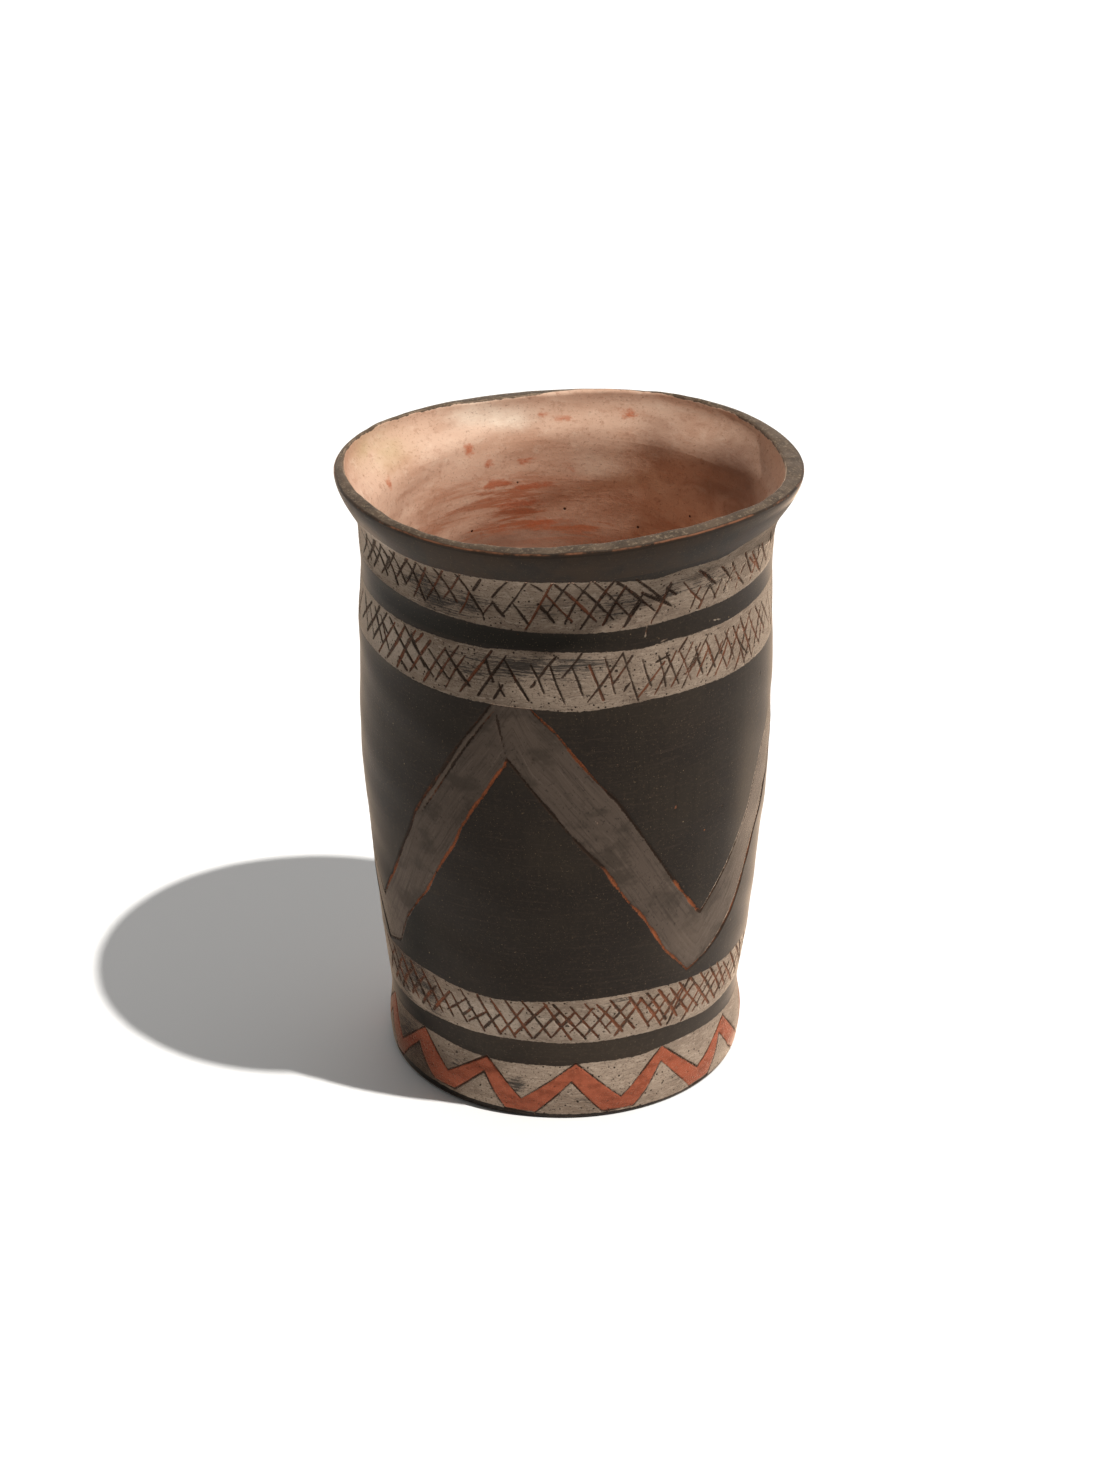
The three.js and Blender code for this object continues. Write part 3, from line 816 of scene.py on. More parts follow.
def stroke_row(wire, given, way, seed):
    """A row of even strokes that lean one way, each a little off its place on the chart."""
    start = wire.node("ShaderNodeCombineXYZ", None, {0: given[way + " first"], 1: given["Foot"]})
    step = wire.node("ShaderNodeCombineXYZ", None, {0: given["Spacing"]})
    row = wire.node("GeometryNodeMeshLine", {"mode": "OFFSET"},
                    {"Count": given["Strokes each way"], "Start Location": start, "Offset": step})
    drift = wire.node("ShaderNodeCombineXYZ", None, {0: given["Wander"], 1: given["Wander"]})
    back = wire.node("ShaderNodeVectorMath", {"operation": "SCALE"}, {0: drift, 3: -1.0})
    shift = wire.node("FunctionNodeRandomValue", {"data_type": "FLOAT_VECTOR"},
                      {0: back, 1: drift, 8: seed})
    row = wire.node("GeometryNodeSetPosition", None, {"Geometry": row, "Offset": shift})
    rise = wire.node("ShaderNodeCombineXYZ", None,
                     {0: given[way + " lean"], 1: given["Head"] - given["Foot"]})
    stroke = wire.node("GeometryNodeMeshLine", {"mode": "END_POINTS"},
                       {"Count": ROW_POINTS, "Start Location": (0, 0, 0), "Offset": rise})
    placed = wire.node("GeometryNodeInstanceOnPoints", None, {"Points": row, "Instance": stroke})
    made = wire.node("GeometryNodeRealizeInstances", None, {"Geometry": placed})
    number = wire.maths("FLOOR", wire.node("GeometryNodeInputIndex") / ROW_POINTS)

    def one_each(least, most, seed_of_it):
        """A random number that all points of a stroke share."""
        values = {2: least, 3: most, 7: number, 8: seed_of_it}
        return wire.node("FunctionNodeRandomValue", {"data_type": "FLOAT"}, values, 1)

    tone = one_each(*ROW_TONES, seed + 2)
    width = one_each(*ROW_WIDTHS, seed + 3) * given["Width"]
    for label, value in (("line_tone", tone), ("line_width", width), ("line_depth", 1.0)):
        made = keep_value(wire, made, label, value)
    return made


def incising_tree(name, hatched):
    """Cuts drawn strokes, and rows of even ones if it is hatched, into the wall's outside."""
    inputs = {
        "Geometry": "NodeSocketGeometry", "Drawn strokes": "NodeSocketObject",
        "Depth": 0.4, "Burr": 0.06, "Finish": "NodeSocketMaterial",
    }
    if hatched:
        inputs.update({
            "Strokes each way": 30, "Rising first": 0.0, "Falling first": 0.0,
            "Spacing": 5.0, "Foot": 0.0, "Head": 10.0, "Rising lean": 6.0,
            "Falling lean": -6.0, "Wander": 0.5, "Width": 0.8, "Seed": 1,
        })
    tree, given = new_group(name, inputs)
    wire = Wire(tree)
    lines = [wire.node("GeometryNodeObjectInfo", None, {"Object": given["Drawn strokes"]}, 4)]
    if hatched:
        lines.append(stroke_row(wire, given, "Rising", given["Seed"] + 7))
        lines.append(stroke_row(wire, given, "Falling", given["Seed"] + 19))
    once = wire.node("GeometryNodeJoinGeometry", None, {0: lines})
    turn = math.tau * CHART_RADIUS
    copies = [once]
    for way in (-turn, turn):
        copies.append(wire.node("GeometryNodeTransform", None,
                                {"Geometry": once, "Translation": (way, 0, 0)}))
    around = wire.node("GeometryNodeJoinGeometry", None, {0: copies})

    def named(label, kind="FLOAT"):
        return wire.node("GeometryNodeInputNamedAttribute", {"data_type": kind}, {"Name": label})

    chart = named("chart", "FLOAT_VECTOR")
    outside = named("outside")
    distance = wire.node("GeometryNodeProximity", {"target_element": "EDGES"},
                         {0: around, 2: chart}, 1)
    nearest = wire.node("GeometryNodeSampleNearest", {"domain": "POINT"}, {0: around, 1: chart})

    def of_line(label):
        return wire.node("GeometryNodeSampleIndex", {"data_type": "FLOAT", "domain": "POINT"},
                         {0: around, 1: named(label), 2: nearest})

    # A rounded groove, with a low burr pushed up along both sides of it.
    half = of_line("line_width") * 0.5
    reach = distance / half
    inside = 1 - reach.ramp(0.0, 1.25)
    ridge = reach.ramp(0.9, 1.4) * (1 - reach.ramp(1.4, 2.2))
    height = ridge * given["Burr"] - inside * given["Depth"] * of_line("line_depth")
    offset = wire.node("ShaderNodeVectorMath", {"operation": "SCALE"},
                       {0: named("outward", "FLOAT_VECTOR"), 3: height * outside * MILLIMETRE})
    wall = keep_value(wire, given["Geometry"], "stroke", distance - half)
    wall = keep_value(wire, wall, "tone", of_line("line_tone"))
    wall = wire.node("GeometryNodeSetPosition", None, {"Geometry": wall, "Offset": offset})
    wall = wire.node("GeometryNodeRealizeInstances", None, {"Geometry": wall})
    is_outer = wire.node("FunctionNodeCompare", {"operation": "GREATER_THAN"},
                         {0: outside, 1: 0.5})
    wall = wire.node("GeometryNodeSetMaterial", None,
                     {"Geometry": wall, "Selection": is_outer, "Material": given["Finish"]})
    wire.node("NodeGroupOutput", None, {0: wall})
    return tree


def incised(name, blank, tree, values):
    """Runs a tree on a blank ring and gives back the cut ring as a plain object."""
    bare = add_object(name + "_blank", blank)
    modifier = bare.modifiers.new("incising", "NODES")
    modifier.node_group = tree
    keys = {item.name: item.identifier for item in tree.interface.items_tree
            if item.in_out == "INPUT"}
    for label, value in values.items():
        modifier[keys[label]] = value
    bpy.context.view_layer.update()
    graph = bpy.context.evaluated_depsgraph_get()
    cut = bpy.data.meshes.new_from_object(bare.evaluated_get(graph),
                                          preserve_all_data_layers=True, depsgraph=graph)
    bare.modifiers.clear()
    bpy.data.objects.remove(bare)
    return add_object(name, cut)


def strap_section(low, high, outer_step):
    """A strap's rows: up its outside, down its scarfed inside, and across its joints."""
    outer = levels_between(low, high, outer_step)
    inner = levels_between(high - SCARF_DROP, low - SCARF_DROP, INNER_STEP)
    section = [(level, 0.0, 1) for level in outer]
    section += [(level, wall_thickness(level), 0) for level in inner]
    corners = {0, len(outer) - 1, len(outer), len(section) - 1}
    return section, corners


def foot_section():
    """The foot strap's rows: rounded below where it wears on the table, flat where it stands."""
    rows = []
    for turn in np.linspace(0, math.pi / 2, FOOT_EDGE_STEPS + 1)[:-1]:
        level = FOOT_EDGE_ROUND * (1 - math.cos(turn))
        rows.append((level, FOOT_EDGE_ROUND * (1 - math.sin(turn)), 1))
    rows += [(level, 0.0, 1) for level in levels_between(FOOT_EDGE_ROUND, FOOT_TOP, FOOT_STEP)]
    outer_count = len(rows)
    inner = levels_between(FOOT_TOP - SCARF_DROP, 0.0, INNER_STEP)
    rows += [(level, wall_thickness(level), 0) for level in inner]
    corners = {outer_count - 1, outer_count, len(rows) - 1, 0}
    return rows, corners


def pale_layer(wire, place):
    """Pale kaolin slip over the grey clay: chalky, pitted, streaked, smudged with soot and painted shade.
    """
    cloud = grain(wire, place, (13, 13, 7), 4.0, 0.6, 0.3)
    fine = grain(wire, place, (2.4, 2.4, 0.7), 4.0, 0.65)
    dash = grain(wire, place, (1.5, 1.5, 0.34), 3.0, 0.7)
    brush = grain(wire, place, (9, 9, 0.45), 4.0, 0.66)
    grit = grain(wire, place, (0.5, 0.5, 0.42), 2.0, 0.75)
    faded = wire_zone(wire, "faded")
    soot = wire_zone(wire, "soot")
    smudge_pattern = cloud - 0.5 + brush.sway(2.8) + fine.sway(1.2) + dash.sway(1.4)
    smudge_and_shade = soot * 1.1 + smudge_pattern * soot.ramp(0.0, 0.4) - 0.3
    flakes = specks(wire, place, 3.4, 0.62, 0.3) * fine.ramp(0.46, 0.56)
    pits = specks(wire, place, 1.5, 0.36, 0.45)
    pits = pits.at_least(grit.ramp(0.57, 0.68) * 0.85).at_least(flakes)
    tint = coated(
        wire, (176, 155, 136),
        ((150, 130, 113), cloud.ramp(0.4, 0.66)),
        ((202, 181, 161), fine.ramp(0.5, 0.7) * 0.8),
        ((110, 93, 80), dash.ramp(0.52, 0.7) * 0.65),
        ((112, 97, 85), brush.ramp(0.52, 0.68) * 0.45),
        # Paler where faded or with painted highlights; darker with painted shade and soot.
        ((222, 203, 184), faded.ramp(0.0, 1.1) * (0.45 + fine * 0.7)),
        ((62, 43, 33), (0 - faded).ramp(0.0, 1.0) * (0.5 + fine * 0.7)),
        ((58, 56, 54), smudge_and_shade.ramp(0.0, 0.75) * 0.85),
        ((62, 51, 43), pits),
    )
    height = fine * 0.5 + dash * 0.5 + grit * 0.3 - pits * 0.8
    return tint, 0.74 + fine * 0.14, height


def dark_layer(wire, place):
    """Clay burnished with a pebble and fired black: smooth, with fine rubbed streaks."""
    cloud = grain(wire, place, (30, 30, 20), 3.0, 0.55)
    rub = grain(wire, place, (11, 11, 0.8), 4.0, 0.64)
    upright = grain(wire, place, (1.6, 1.6, 18), 3.0, 0.6)
    fine = grain(wire, place, (1.0, 1.0, 0.8), 3.0, 0.7)
    grit = grain(wire, place, (0.5, 0.5, 0.5), 2.0, 0.72)
    faded = wire_zone(wire, "faded")
    dots = specks(wire, place, 2.9, 0.26, 0.16).at_least(grit.ramp(0.64, 0.72) * 0.55)
    tint = coated(
        wire, (40, 34, 31),
        ((51, 44, 38), cloud.ramp(0.38, 0.68)),
        ((34, 30, 27), upright.ramp(0.45, 0.68) * 0.35),
        ((68, 57, 50), rub.ramp(0.52, 0.72) * 0.5),
        ((82, 68, 54), fine.ramp(0.52, 0.7) * 0.3),
        # Paler where faded, with painted highlights, brightest on the flare; painted shade near black.
        ((110, 95, 80), faded.ramp(0.0, 1.0) * (0.4 + fine * 0.6)),
        ((160, 130, 106), (faded - 1.0).ramp(0.0, 1.0) * 0.8),
        ((17, 16, 14), (0 - faded).ramp(0.0, 1.0)),
        ((138, 116, 90), dots * 0.85),
        ((140, 84, 50), specks(wire, place, 6.3, 0.34, 0.1)),
    )
    height = rub * 0.5 + upright * 0.3 + fine * 0.5 + grit * 0.3 + dots * 0.3
    roughness = 0.38 + cloud * 0.1 + rub * 0.14 + fine * 0.1
    return tint, roughness, height


def cut_layer(wire, place, layers, warm_tint, raggedness):
    """Strokes cut with a point: their soot-dark or orange bare clay, over what they cut."""
    tint, roughness, height = layers
    ragged = grain(wire, place, (0.8, 0.8, 0.8), 3.0, 0.7)
    patch = grain(wire, place, (2.4, 2.4, 2.4), 2.0, 0.6)
    edge = wire_zone(wire, "stroke") + ragged.sway(raggedness)
    edge = edge + patch.sway(raggedness * 0.8)
    inside = 1 - edge.ramp(-0.14, 0.12)
    core = 1 - edge.ramp(-0.35, -0.05)
    tone = wire_zone(wire, "tone")
    warm = (tone + patch.sway(1.2) + ragged.sway(0.8)).ramp(0.2, 0.85)
    line = colour(wire, colour_of(56, 42, 34)).blend(warm_tint, warm * (0.55 + core * 0.45))
    line = line.blend(colour_of(208, 188, 166), tone.ramp(1.5, 1.8))
    tint = tint.blend(line, inside * (0.72 + patch * 0.4).at_most(0.96))
    return tint, roughness + inside * 0.12, height - inside * 0.5


def wall_material(name, ribbon=False, zigzag=False):
    """The painted outside of the wall, with the zones that a strap of it has."""
    finish, wire = new_finish(name, gloss_index=1.23, dust=1.0)
    place = surface(wire)
    dark, dark_rough, dark_height = dark_layer(wire, place)
    pale, pale_rough, pale_height = pale_layer(wire, place)
    ragged = grain(wire, place, (1.5, 1.5, 0.8), 4.0, 0.65)
    slip = (wire_zone(wire, "pale") + ragged.sway(0.9)).ramp(-0.10, 0.12)
    tint = dark.blend(pale, slip)
    roughness = dark_rough + (pale_rough - dark_rough) * slip
    height = dark_height * 0.35 + (pale_height - dark_height * 0.35) * slip
    if ribbon:
        tint, roughness, height = ribbon_layer(wire, place, tint, roughness, height)
    if zigzag:
        tint, roughness, height = ochre_layer(wire, place, tint, roughness, height)
    warm = colour_of(178, 100, 62) if ribbon else colour_of(140, 82, 56)
    layers = cut_layer(wire, place, (tint, roughness, height), warm, 0.9 if ribbon else 0.4)
    paint(finish, layers[0], layers[1], bump(wire, layers[2], 0.12))
    return finish


def ochre_layer(wire, place, tint, roughness, height):
    """Red ochre rubbed between the two cut lines of the zigzag."""
    ragged = grain(wire, place, (1.1, 1.1, 1.1), 4.0, 0.65)
    worn = grain(wire, place, (5, 5, 2.5), 4.0, 0.6)
    red = (wire_zone(wire, "zigzag") - OCHRE_MARGIN + ragged.sway(0.5)).ramp(-0.1, 0.12)
    ochre = coated(
        wire, (176, 96, 70),
        ((146, 77, 55), worn.ramp(0.42, 0.68)),
        ((202, 122, 92), ragged.ramp(0.54, 0.74) * 0.6),
        ((78, 44, 32), specks(wire, place, 1.5, 0.28, 0.3) * 0.7),
        # Darker as painted shade low at the left.
        ((70, 34, 25), (0 - wire_zone(wire, "faded")).ramp(0.1, 1.4) * 0.6),
    )
    return tint.blend(ochre, red), roughness - red * 0.08, height


def kept(mesh, name, width):
    """What a mesh keeps under a name, as a row of one or three numbers for each point."""
    values = np.zeros(width * len(mesh.vertices), np.float32)
    mesh.attributes[name].data.foreach_get("vector" if width == 3 else "value", values)
    return values.reshape(-1, width)


def mark_outside(mesh, **fields):
    """Stores, for each point, numbers worked out from its azimuth and level."""
    chart = kept(mesh, "chart", 3).astype(float)
    azimuth = np.degrees(chart[:, 0] / CHART_RADIUS)
    for name, rule in fields.items():
        store(mesh, name, rule(azimuth, chart[:, 1]))


# Zones as azimuth and level of the middle, half width, half height and strength.
# Soot, and painted shade: low at the left, facing the table's shadow, and below the lip in front.
SOOT_AND_PAINTED_SHADE_ZONES = (
    (-16, 10.5, 3.6, 2.4, 1), (-36, 12, 5, 3, 0.45), (8, 6, 8, 2, 0.35), (38, 8, 5, 3, 0.5),
    (-64, 12, 12, 7, 0.6), (60, 9, 4, 3, 0.45), (70, 12, 5, 3, 0.4), (-27, 14.5, 6, 1.6, 0.4),
    (-38, 162, 12, 5, 0.4), (-20, 162, 8, 4, 0.25), (16, 160, 8, 4, 0.3), (-62, 32, 17, 9, 1),
    (-46, 30, 5, 6, 0.4), (16, 38.5, 4, 1.6, 0.7), (-7, 33, 5, 4, 0.28), (9, 29, 9, 4, 0.2),
    (50, 37, 9, 2, 0.3), (-12, 144.4, 14, 3.6, 0.9), (5, 145, 8, 2.8, 0.7), (-29, 144, 7, 4, 0.45),
    (-22, 139, 8, 4, 0.25), (-46, 146, 10, 2, 0.2), (30, 147, 12, 1.6, 0.18), (-26, 159.5, 4.5, 3, 0.5),
    (-36, 158, 7, 2.6, 0.42), (-47, 161, 9, 4, 0.5), (-8, 160, 9, 5, 0.26), (4, 161.4, 9, 5, 0.2),
    (15, 162, 5.4, 3.6, 0.22), (28.5, 163, 5, 2.4, 0.5), (41, 162.2, 9, 3.8, 0.62), (62, 162, 7, 3, 0.5),
    (-70, 157, 14, 3, 0.4), (100, 36, 20, 4, 0.4), (150, 145, 24, 4, 0.6), (205, 160, 20, 5, 0.6),
    (120, 158, 20, 4, 0.5), (230, 30, 18, 5, 0.6), (255, 143, 16, 4, 0.5), (170, 10, 10, 4, 0.5),
    (240, 9, 8, 3, 0.6),
)


def soot(azimuth, level):
    """How sooty the pale slip is at a place, painted shade included."""
    return in_zone(azimuth, level, SOOT_AND_PAINTED_SHADE_ZONES)


# Faded zones, and painted light: paler for fading and painted highlights, darker for painted shade.
FADE_AND_PAINTED_LIGHT_ZONES = (
    (-61, 170.5, 8, 3, 2), (64, 170.5, 10, 3.2, 0.5), (-79, 162, 8, 9, 1.1), (82, 162, 8, 8, 0.5),
    (-79, 141, 9, 9, 0.8), (80, 141, 9, 8, 0.6), (38, 141, 16, 7, 0.22), (-25, 32, 24, 6, 0.65),
    (12, 32, 10, 5, 0.45), (46, 32, 9, 5, 0.28), (-80, 33, 8, 6, 1), (-38, 152, 38, 2.7, -1.4),
    (28, 152, 16, 2.6, 0.12), (-64, 21, 14, 3.2, -1.5), (10, 21, 52, 7, 0.3), (-4, 152, 22, 4, -0.4),
    (-60, 141, 13, 8, 1.1), (-42, 141, 8, 6, 0.4), (-62, 164, 14, 6, 0.8), (-62, 50, 18, 15, -1.4),
    (-36, 124, 16, 12, -0.35), (40, 54, 13, 11, 0.4), (36, 124, 13, 11, 0.22), (62, 88, 9, 34, 0.75),
    (-14, 126, 10, 6, 0.35), (-58, 8, 22, 10, -1.1), (44, 9, 26, 8, 0.22), (110, 21, 40, 4, 0.4),
    (190, 21, 40, 4, 0.5), (270, 21, 30, 4, 0.3), (140, 160, 20, 5, 0.3), (230, 142, 24, 6, 0.3),
    (200, 90, 14, 20, 0.2),
)


def faded(azimuth, level):
    """How faded the wall is at a place, with painted light: above 0 paler, below 0 painted shade."""
    return in_zone(azimuth, level, FADE_AND_PAINTED_LIGHT_ZONES)


line_incising = incising_tree("line_incising", False)
foot_rows, foot_corners = foot_section()
foot_slip = wall_material("foot_slip", zigzag=True)
foot_blank = ring_mesh("foot_strap", foot_rows, FOOT_COLUMNS, foot_corners)
mark_outside(foot_blank, pale=inside_pale, zigzag=inside_zigzag, soot=soot, faded=faded)
zigzag_cuts = strokes_object("zigzag_cuts", [
    (closed_line(zigzag_upper, 0.3), ZIGZAG_LINE_WIDTH, 1.0, 0.45, 0.0),
    (closed_line(zigzag_lower, 0.35), ZIGZAG_LINE_WIDTH, 1.0, 0.45, 0.0),
])
foot_strap = incised("foot_strap_painted", foot_blank, line_incising, {
    "Drawn strokes": zigzag_cuts, "Depth": ZIGZAG_LINE_DEPTH, "Finish": foot_slip,
})
bpy.data.objects.remove(zigzag_cuts)
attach(foot_strap, "root")
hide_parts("foot_strap")


# Waist strap. The narrow strap above the foot. The dark stripe ends on it, and above that it
# is painted with pale slip. It was hatched two ways with a blunt point while the clay was soft.
HATCH_COLUMNS = 1140
HATCH_STEP = 0.32
HATCH_DEPTH = 0.3
WAIST_HATCH_WIDTH = 0.9
CHART_PER_DEGREE = math.radians(CHART_RADIUS)
STROKE_BEND = 0.35
STROKE_WARMTH = 0.25
STROKE_WIDTHS = (0.85, 1.3)
STROKE_DEPTHS = (0.75, 1.15)
SCRATCH_WIDTH = 0.45
SCRATCH_TONE = 1.5
TURNED_AWAY = -45
TURNED_WIDTH = 1.3

# Strokes as azimuth and level of both ends, and a tone from 0, dark, to 1, orange, and 2, pale.
WAIST_STROKES = (
    (-37.7, 35.9, -32.4, 27.7, 0.41), (-33.9, 38.4, -26.2, 26.3, 0.38), (-27.8, 38.2, -20.7, 26.6, 0.46),
    (-23.4, 38, -15.8, 26.2, 0.71), (-18.4, 38.3, -10.4, 26.6, 0.66), (-13.1, 38.9, -4.4, 27.1, 0.41),
    (-6.6, 39.2, 1.8, 26.5, 0.55), (-3.6, 38.5, 6.4, 26.5, 0.41), (1.5, 37.9, 10.4, 26.7, 0.63),
    (5.9, 38.7, 14.3, 27.5, 0.69), (9.6, 38.1, 18.1, 27.7, 0.77), (13.8, 39, 22.1, 27.9, 0.57),
    (19.9, 39.1, 27.2, 27.3, 0.8), (23.6, 37.9, 31.8, 26.3, 0.74), (25.4, 39.5, 33.2, 28.1, 0.57),
    (29.8, 39.1, 37.8, 27.5, 0.8), (34.2, 38.3, 42.4, 27.3, 0.74), (37.4, 39.1, 47, 27.5, 0.69),
    (42, 39.1, 52.8, 25.9, 0.63), (46.4, 38.9, 56.4, 25.9, 0.69), (51, 38.7, 59.2, 27.7, 0.63),
    (54.6, 38.7, 62.8, 27.3, 0.63), (58.6, 37.1, 69, 25.9, 0.8), (63, 38.3, 72.1, 28.1, 0.63),
    (67.6, 38.1, 76.6, 27.9, 0.63), (-44.6, 38.9, -37.6, 27.9, 0.41), (-50, 38.7, -42, 27.7, 0.46),
    (-55.8, 38.9, -47.8, 27.5, 0.41), (-61.4, 38.7, -53.6, 27.7, 0.52), (-67.4, 38.9, -59.8, 27.3, 0.41),
    (-73.4, 38.7, -65.8, 27.9, 0.46), (-39.8, 29.5, -31.8, 35.8, 0.35), (-33.6, 29.8, -29.8, 33.3, 0.46),
    (-31.8, 28.1, -25.4, 32.8, 0.41), (-26.4, 27.1, -20.7, 33.1, 0.35), (-20.5, 27, -12.8, 36.7, 0.57),
    (-16, 27.1, -5.7, 38.3, 0.49), (-9.6, 26.6, -2.1, 35.8, 0.38), (-3.8, 27.6, 2.7, 35.8, 0.44),
    (1.4, 28.9, 8.3, 36.9, 0.46), (5.7, 27, 13.8, 37, 0.46), (12.7, 30.1, 20.4, 37.9, 0.44),
    (15.7, 26.6, 23.8, 37.3, 0.52), (25.9, 34, 29.8, 37.5, 0.35), (26.4, 28.5, 34, 36.3, 0.57),
    (31.4, 28, 39.2, 37.3, 0.52), (34, 26, 41.4, 38.9, 0.41), (37.4, 30.5, 44, 36.5, 0.46),
    (39.8, 25.3, 50.4, 37.3, 0.57), (44.6, 26.5, 53.8, 36.3, 0.41), (49.4, 27.1, 57.8, 35.7, 0.46),
    (56.2, 26.7, 63, 34.7, 0.46), (61.2, 26.9, 68.6, 36.1, 0.52), (66.6, 27.7, 74, 36.5, 0.52),
    (-46.2, 26.9, -38.2, 36.1, 0.69), (-51.8, 26.7, -44, 35.7, 0.46), (-57.4, 27.7, -49.4, 36.7, 0.46),
    (-63.8, 27.1, -55.4, 36.7, 0.41), (-69.8, 27.1, -62, 36.9, 0.57), (-75.4, 27.1, -67.8, 36.9, 0.46),
)


def drawn(strokes, width, seed):
    """Strokes as listed, with a slight bend and a width of their own for each."""
    hand = random.Random(seed)
    lines = []
    for first, low, last, high, tone in strokes:
        bend = hand.uniform(-STROKE_BEND, STROKE_BEND)
        warm = hand.uniform(-STROKE_WARMTH, STROKE_WARMTH)
        middle = ((first + last) / 2 + bend, (low + high) / 2, tone + warm)
        places = [(first, low, tone - warm), middle, (last, high, tone - warm)]
        broad = SCRATCH_WIDTH if tone > SCRATCH_TONE else hand.uniform(*STROKE_WIDTHS)
        broad = broad * TURNED_WIDTH if first < TURNED_AWAY else broad
        lines.append((places, width * broad, hand.uniform(*STROKE_DEPTHS), 0.3, 0.25))
    return lines


hatch_incising = incising_tree("hatch_incising", True)
hatched_slip = wall_material("hatched_slip")


def hatched_strap(name, low, high, strokes, width, values, seed):
    """A strap with its drawn strokes in front and rows of even ones round the back.

    The places and the spacing of the even ones are given in degrees.
    """
    rows, corners = strap_section(low, high, HATCH_STEP)
    blank = ring_mesh(name, rows, HATCH_COLUMNS, corners)
    mark_outside(blank, pale=inside_pale, soot=soot, faded=faded)
    cuts = strokes_object(name + "_cuts", drawn(strokes, width, seed))
    given = {"Drawn strokes": cuts, "Depth": HATCH_DEPTH, "Width": width,
             "Finish": hatched_slip, "Seed": seed}
    given.update(values)
    for label in ("Rising first", "Falling first", "Spacing"):
        given[label] = values[label] * CHART_PER_DEGREE
    made = incised(name + "_hatched", blank, hatch_incising, given)
    bpy.data.objects.remove(cuts)
    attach(made, "root")
    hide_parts(name)


hatched_strap("waist_strap", FOOT_TOP, WAIST_TOP, WAIST_STROKES, WAIST_HATCH_WIDTH, {
    "Strokes each way": 39, "Rising first": 72.0, "Falling first": 79.0, "Spacing": 5.3,
    "Foot": 27.2, "Head": 38.4, "Rising lean": 8.2, "Falling lean": -8.4, "Wander": 0.45,
}, seed=3)


# Belly straps. Two broad straps make the body of the cup, thinned by scraping and burnished
# black. A ribbon runs round both in a chevron: two lines cut deep, with the burnish scraped
# off between them, so that it is matt, grey-brown and a little sunk.
BELLY_COLUMNS = 760
BELLY_STEP = 0.5
RIBBON_LEAN = 0.58
RIBBON_SINK = 0.22
RIBBON_LINE_WIDTH = 0.85
RIBBON_LINE_DEPTH = 0.45
RIBBON_SHOULDER = 0.8
RIBBON_PEAKS = (-14.5, 103, 226.5)
RIBBON_PEAK_LEVEL = 142
STRIP_FROM = 0.2
STRIP_TO = 2.4
STRIP_MIDDLE = -32
STRIP_REACH = 13
STRIP_PALENESS = 0.55

# The lines of the ribbon, as azimuth, level and tone.
RIBBON_UPPER = [
    (-70, 54.5, 0.1), (-65, 60.5, 0.9), (-60, 67, 0.8), (-56.7, 71.9, 0.3), (-48.9, 85.4, 0.2),
    (-45.9, 92.6, 0.4), (-41.7, 99.7, 0.3), (-36, 108.3, 0.2), (-30.6, 117.6, 0.1), (-27.2, 122.6, 0.2),
    (-21.7, 130.4, 0.2), (-19.5, 134, 0.3),
]
RIBBON_UPPER_RIGHT = [
    (-10.5, 134, 0.3), (-9, 131.6, 0.9), (-2.8, 125.4, 1), (1.7, 119, 0.9), (8.3, 110.4, 0.5),
    (13.9, 104, 0.05), (20.6, 93.3, 0), (25, 86.1, 0), (31.7, 75.4, 0.2), (33, 73.5, 0.9), (36.1, 69, 1),
    (41.1, 62.6, 0.8), (42.8, 61.1, 0.2), (47.2, 66.1, 0.2), (52.8, 71.9, 0.3), (57.2, 77.6, 0.1),
    (61.7, 85.4, 0.1), (66, 94, 0), (69.4, 99.7, 0.1), (77.5, 110, 0.3), (88, 121.5, 0.6),
    (97.5, 134, 0.3),
]
RIBBON_UPPER_FAR = [
    [
        (108.5, 134, 0.2), (124, 115, 0.7), (145, 87, 0.2), (165.5, 60, 0.6), (185, 85, 0.1),
        (205, 114, 0.5), (220.5, 134, 0.2),
    ],
    [
        (232, 134, 0.2), (250, 110, 0.2), (270, 82, 0.7), (290.5, 55, 0.1),
    ],
]
RIBBON_LOWER = [
    (-70, 40.5, 0.1), (-60.6, 44, 0.3), (-55, 54, 0.5), (-48.3, 62.6, 0.7), (-43.9, 67.6, 0.8),
    (-38.9, 76.1, 0.9), (-35, 82.6, 0.9), (-32.2, 86.9, 1), (-30, 92.6, 0.7), (-26.1, 99.7, 0.8),
    (-22.8, 104.7, 1), (-20, 109.7, 0.9), (-16.7, 114.7, 1), (-16.1, 116.9, 0.2), (-8.3, 106.9, 0),
    (-1.7, 98.3, 0), (5, 89.7, 0.1), (10.6, 83.3, 0.3), (14, 77.6, 0.8), (17.2, 72.6, 0.9),
    (22.8, 65.4, 0.7), (30.6, 52.6, 1), (36.1, 46.9, 0.9), (40, 42.6, 0.6), (46.7, 45.4, 0.6),
    (52.8, 49.7, 0.3), (58.3, 54.7, 0.4), (62.8, 62.6, 0.4), (68.3, 72.6, 0.5), (76, 87, 0.2),
    (90, 102, 0.5), (103, 118, 0.1), (122, 94, 0.2), (145, 64, 0.8), (165, 41.5, 0.2), (185, 64, 0.1),
    (207, 94, 0.6), (227, 119, 0.1), (245, 94, 0.2), (268, 65, 0.7), (290, 40.5, 0.1),
]
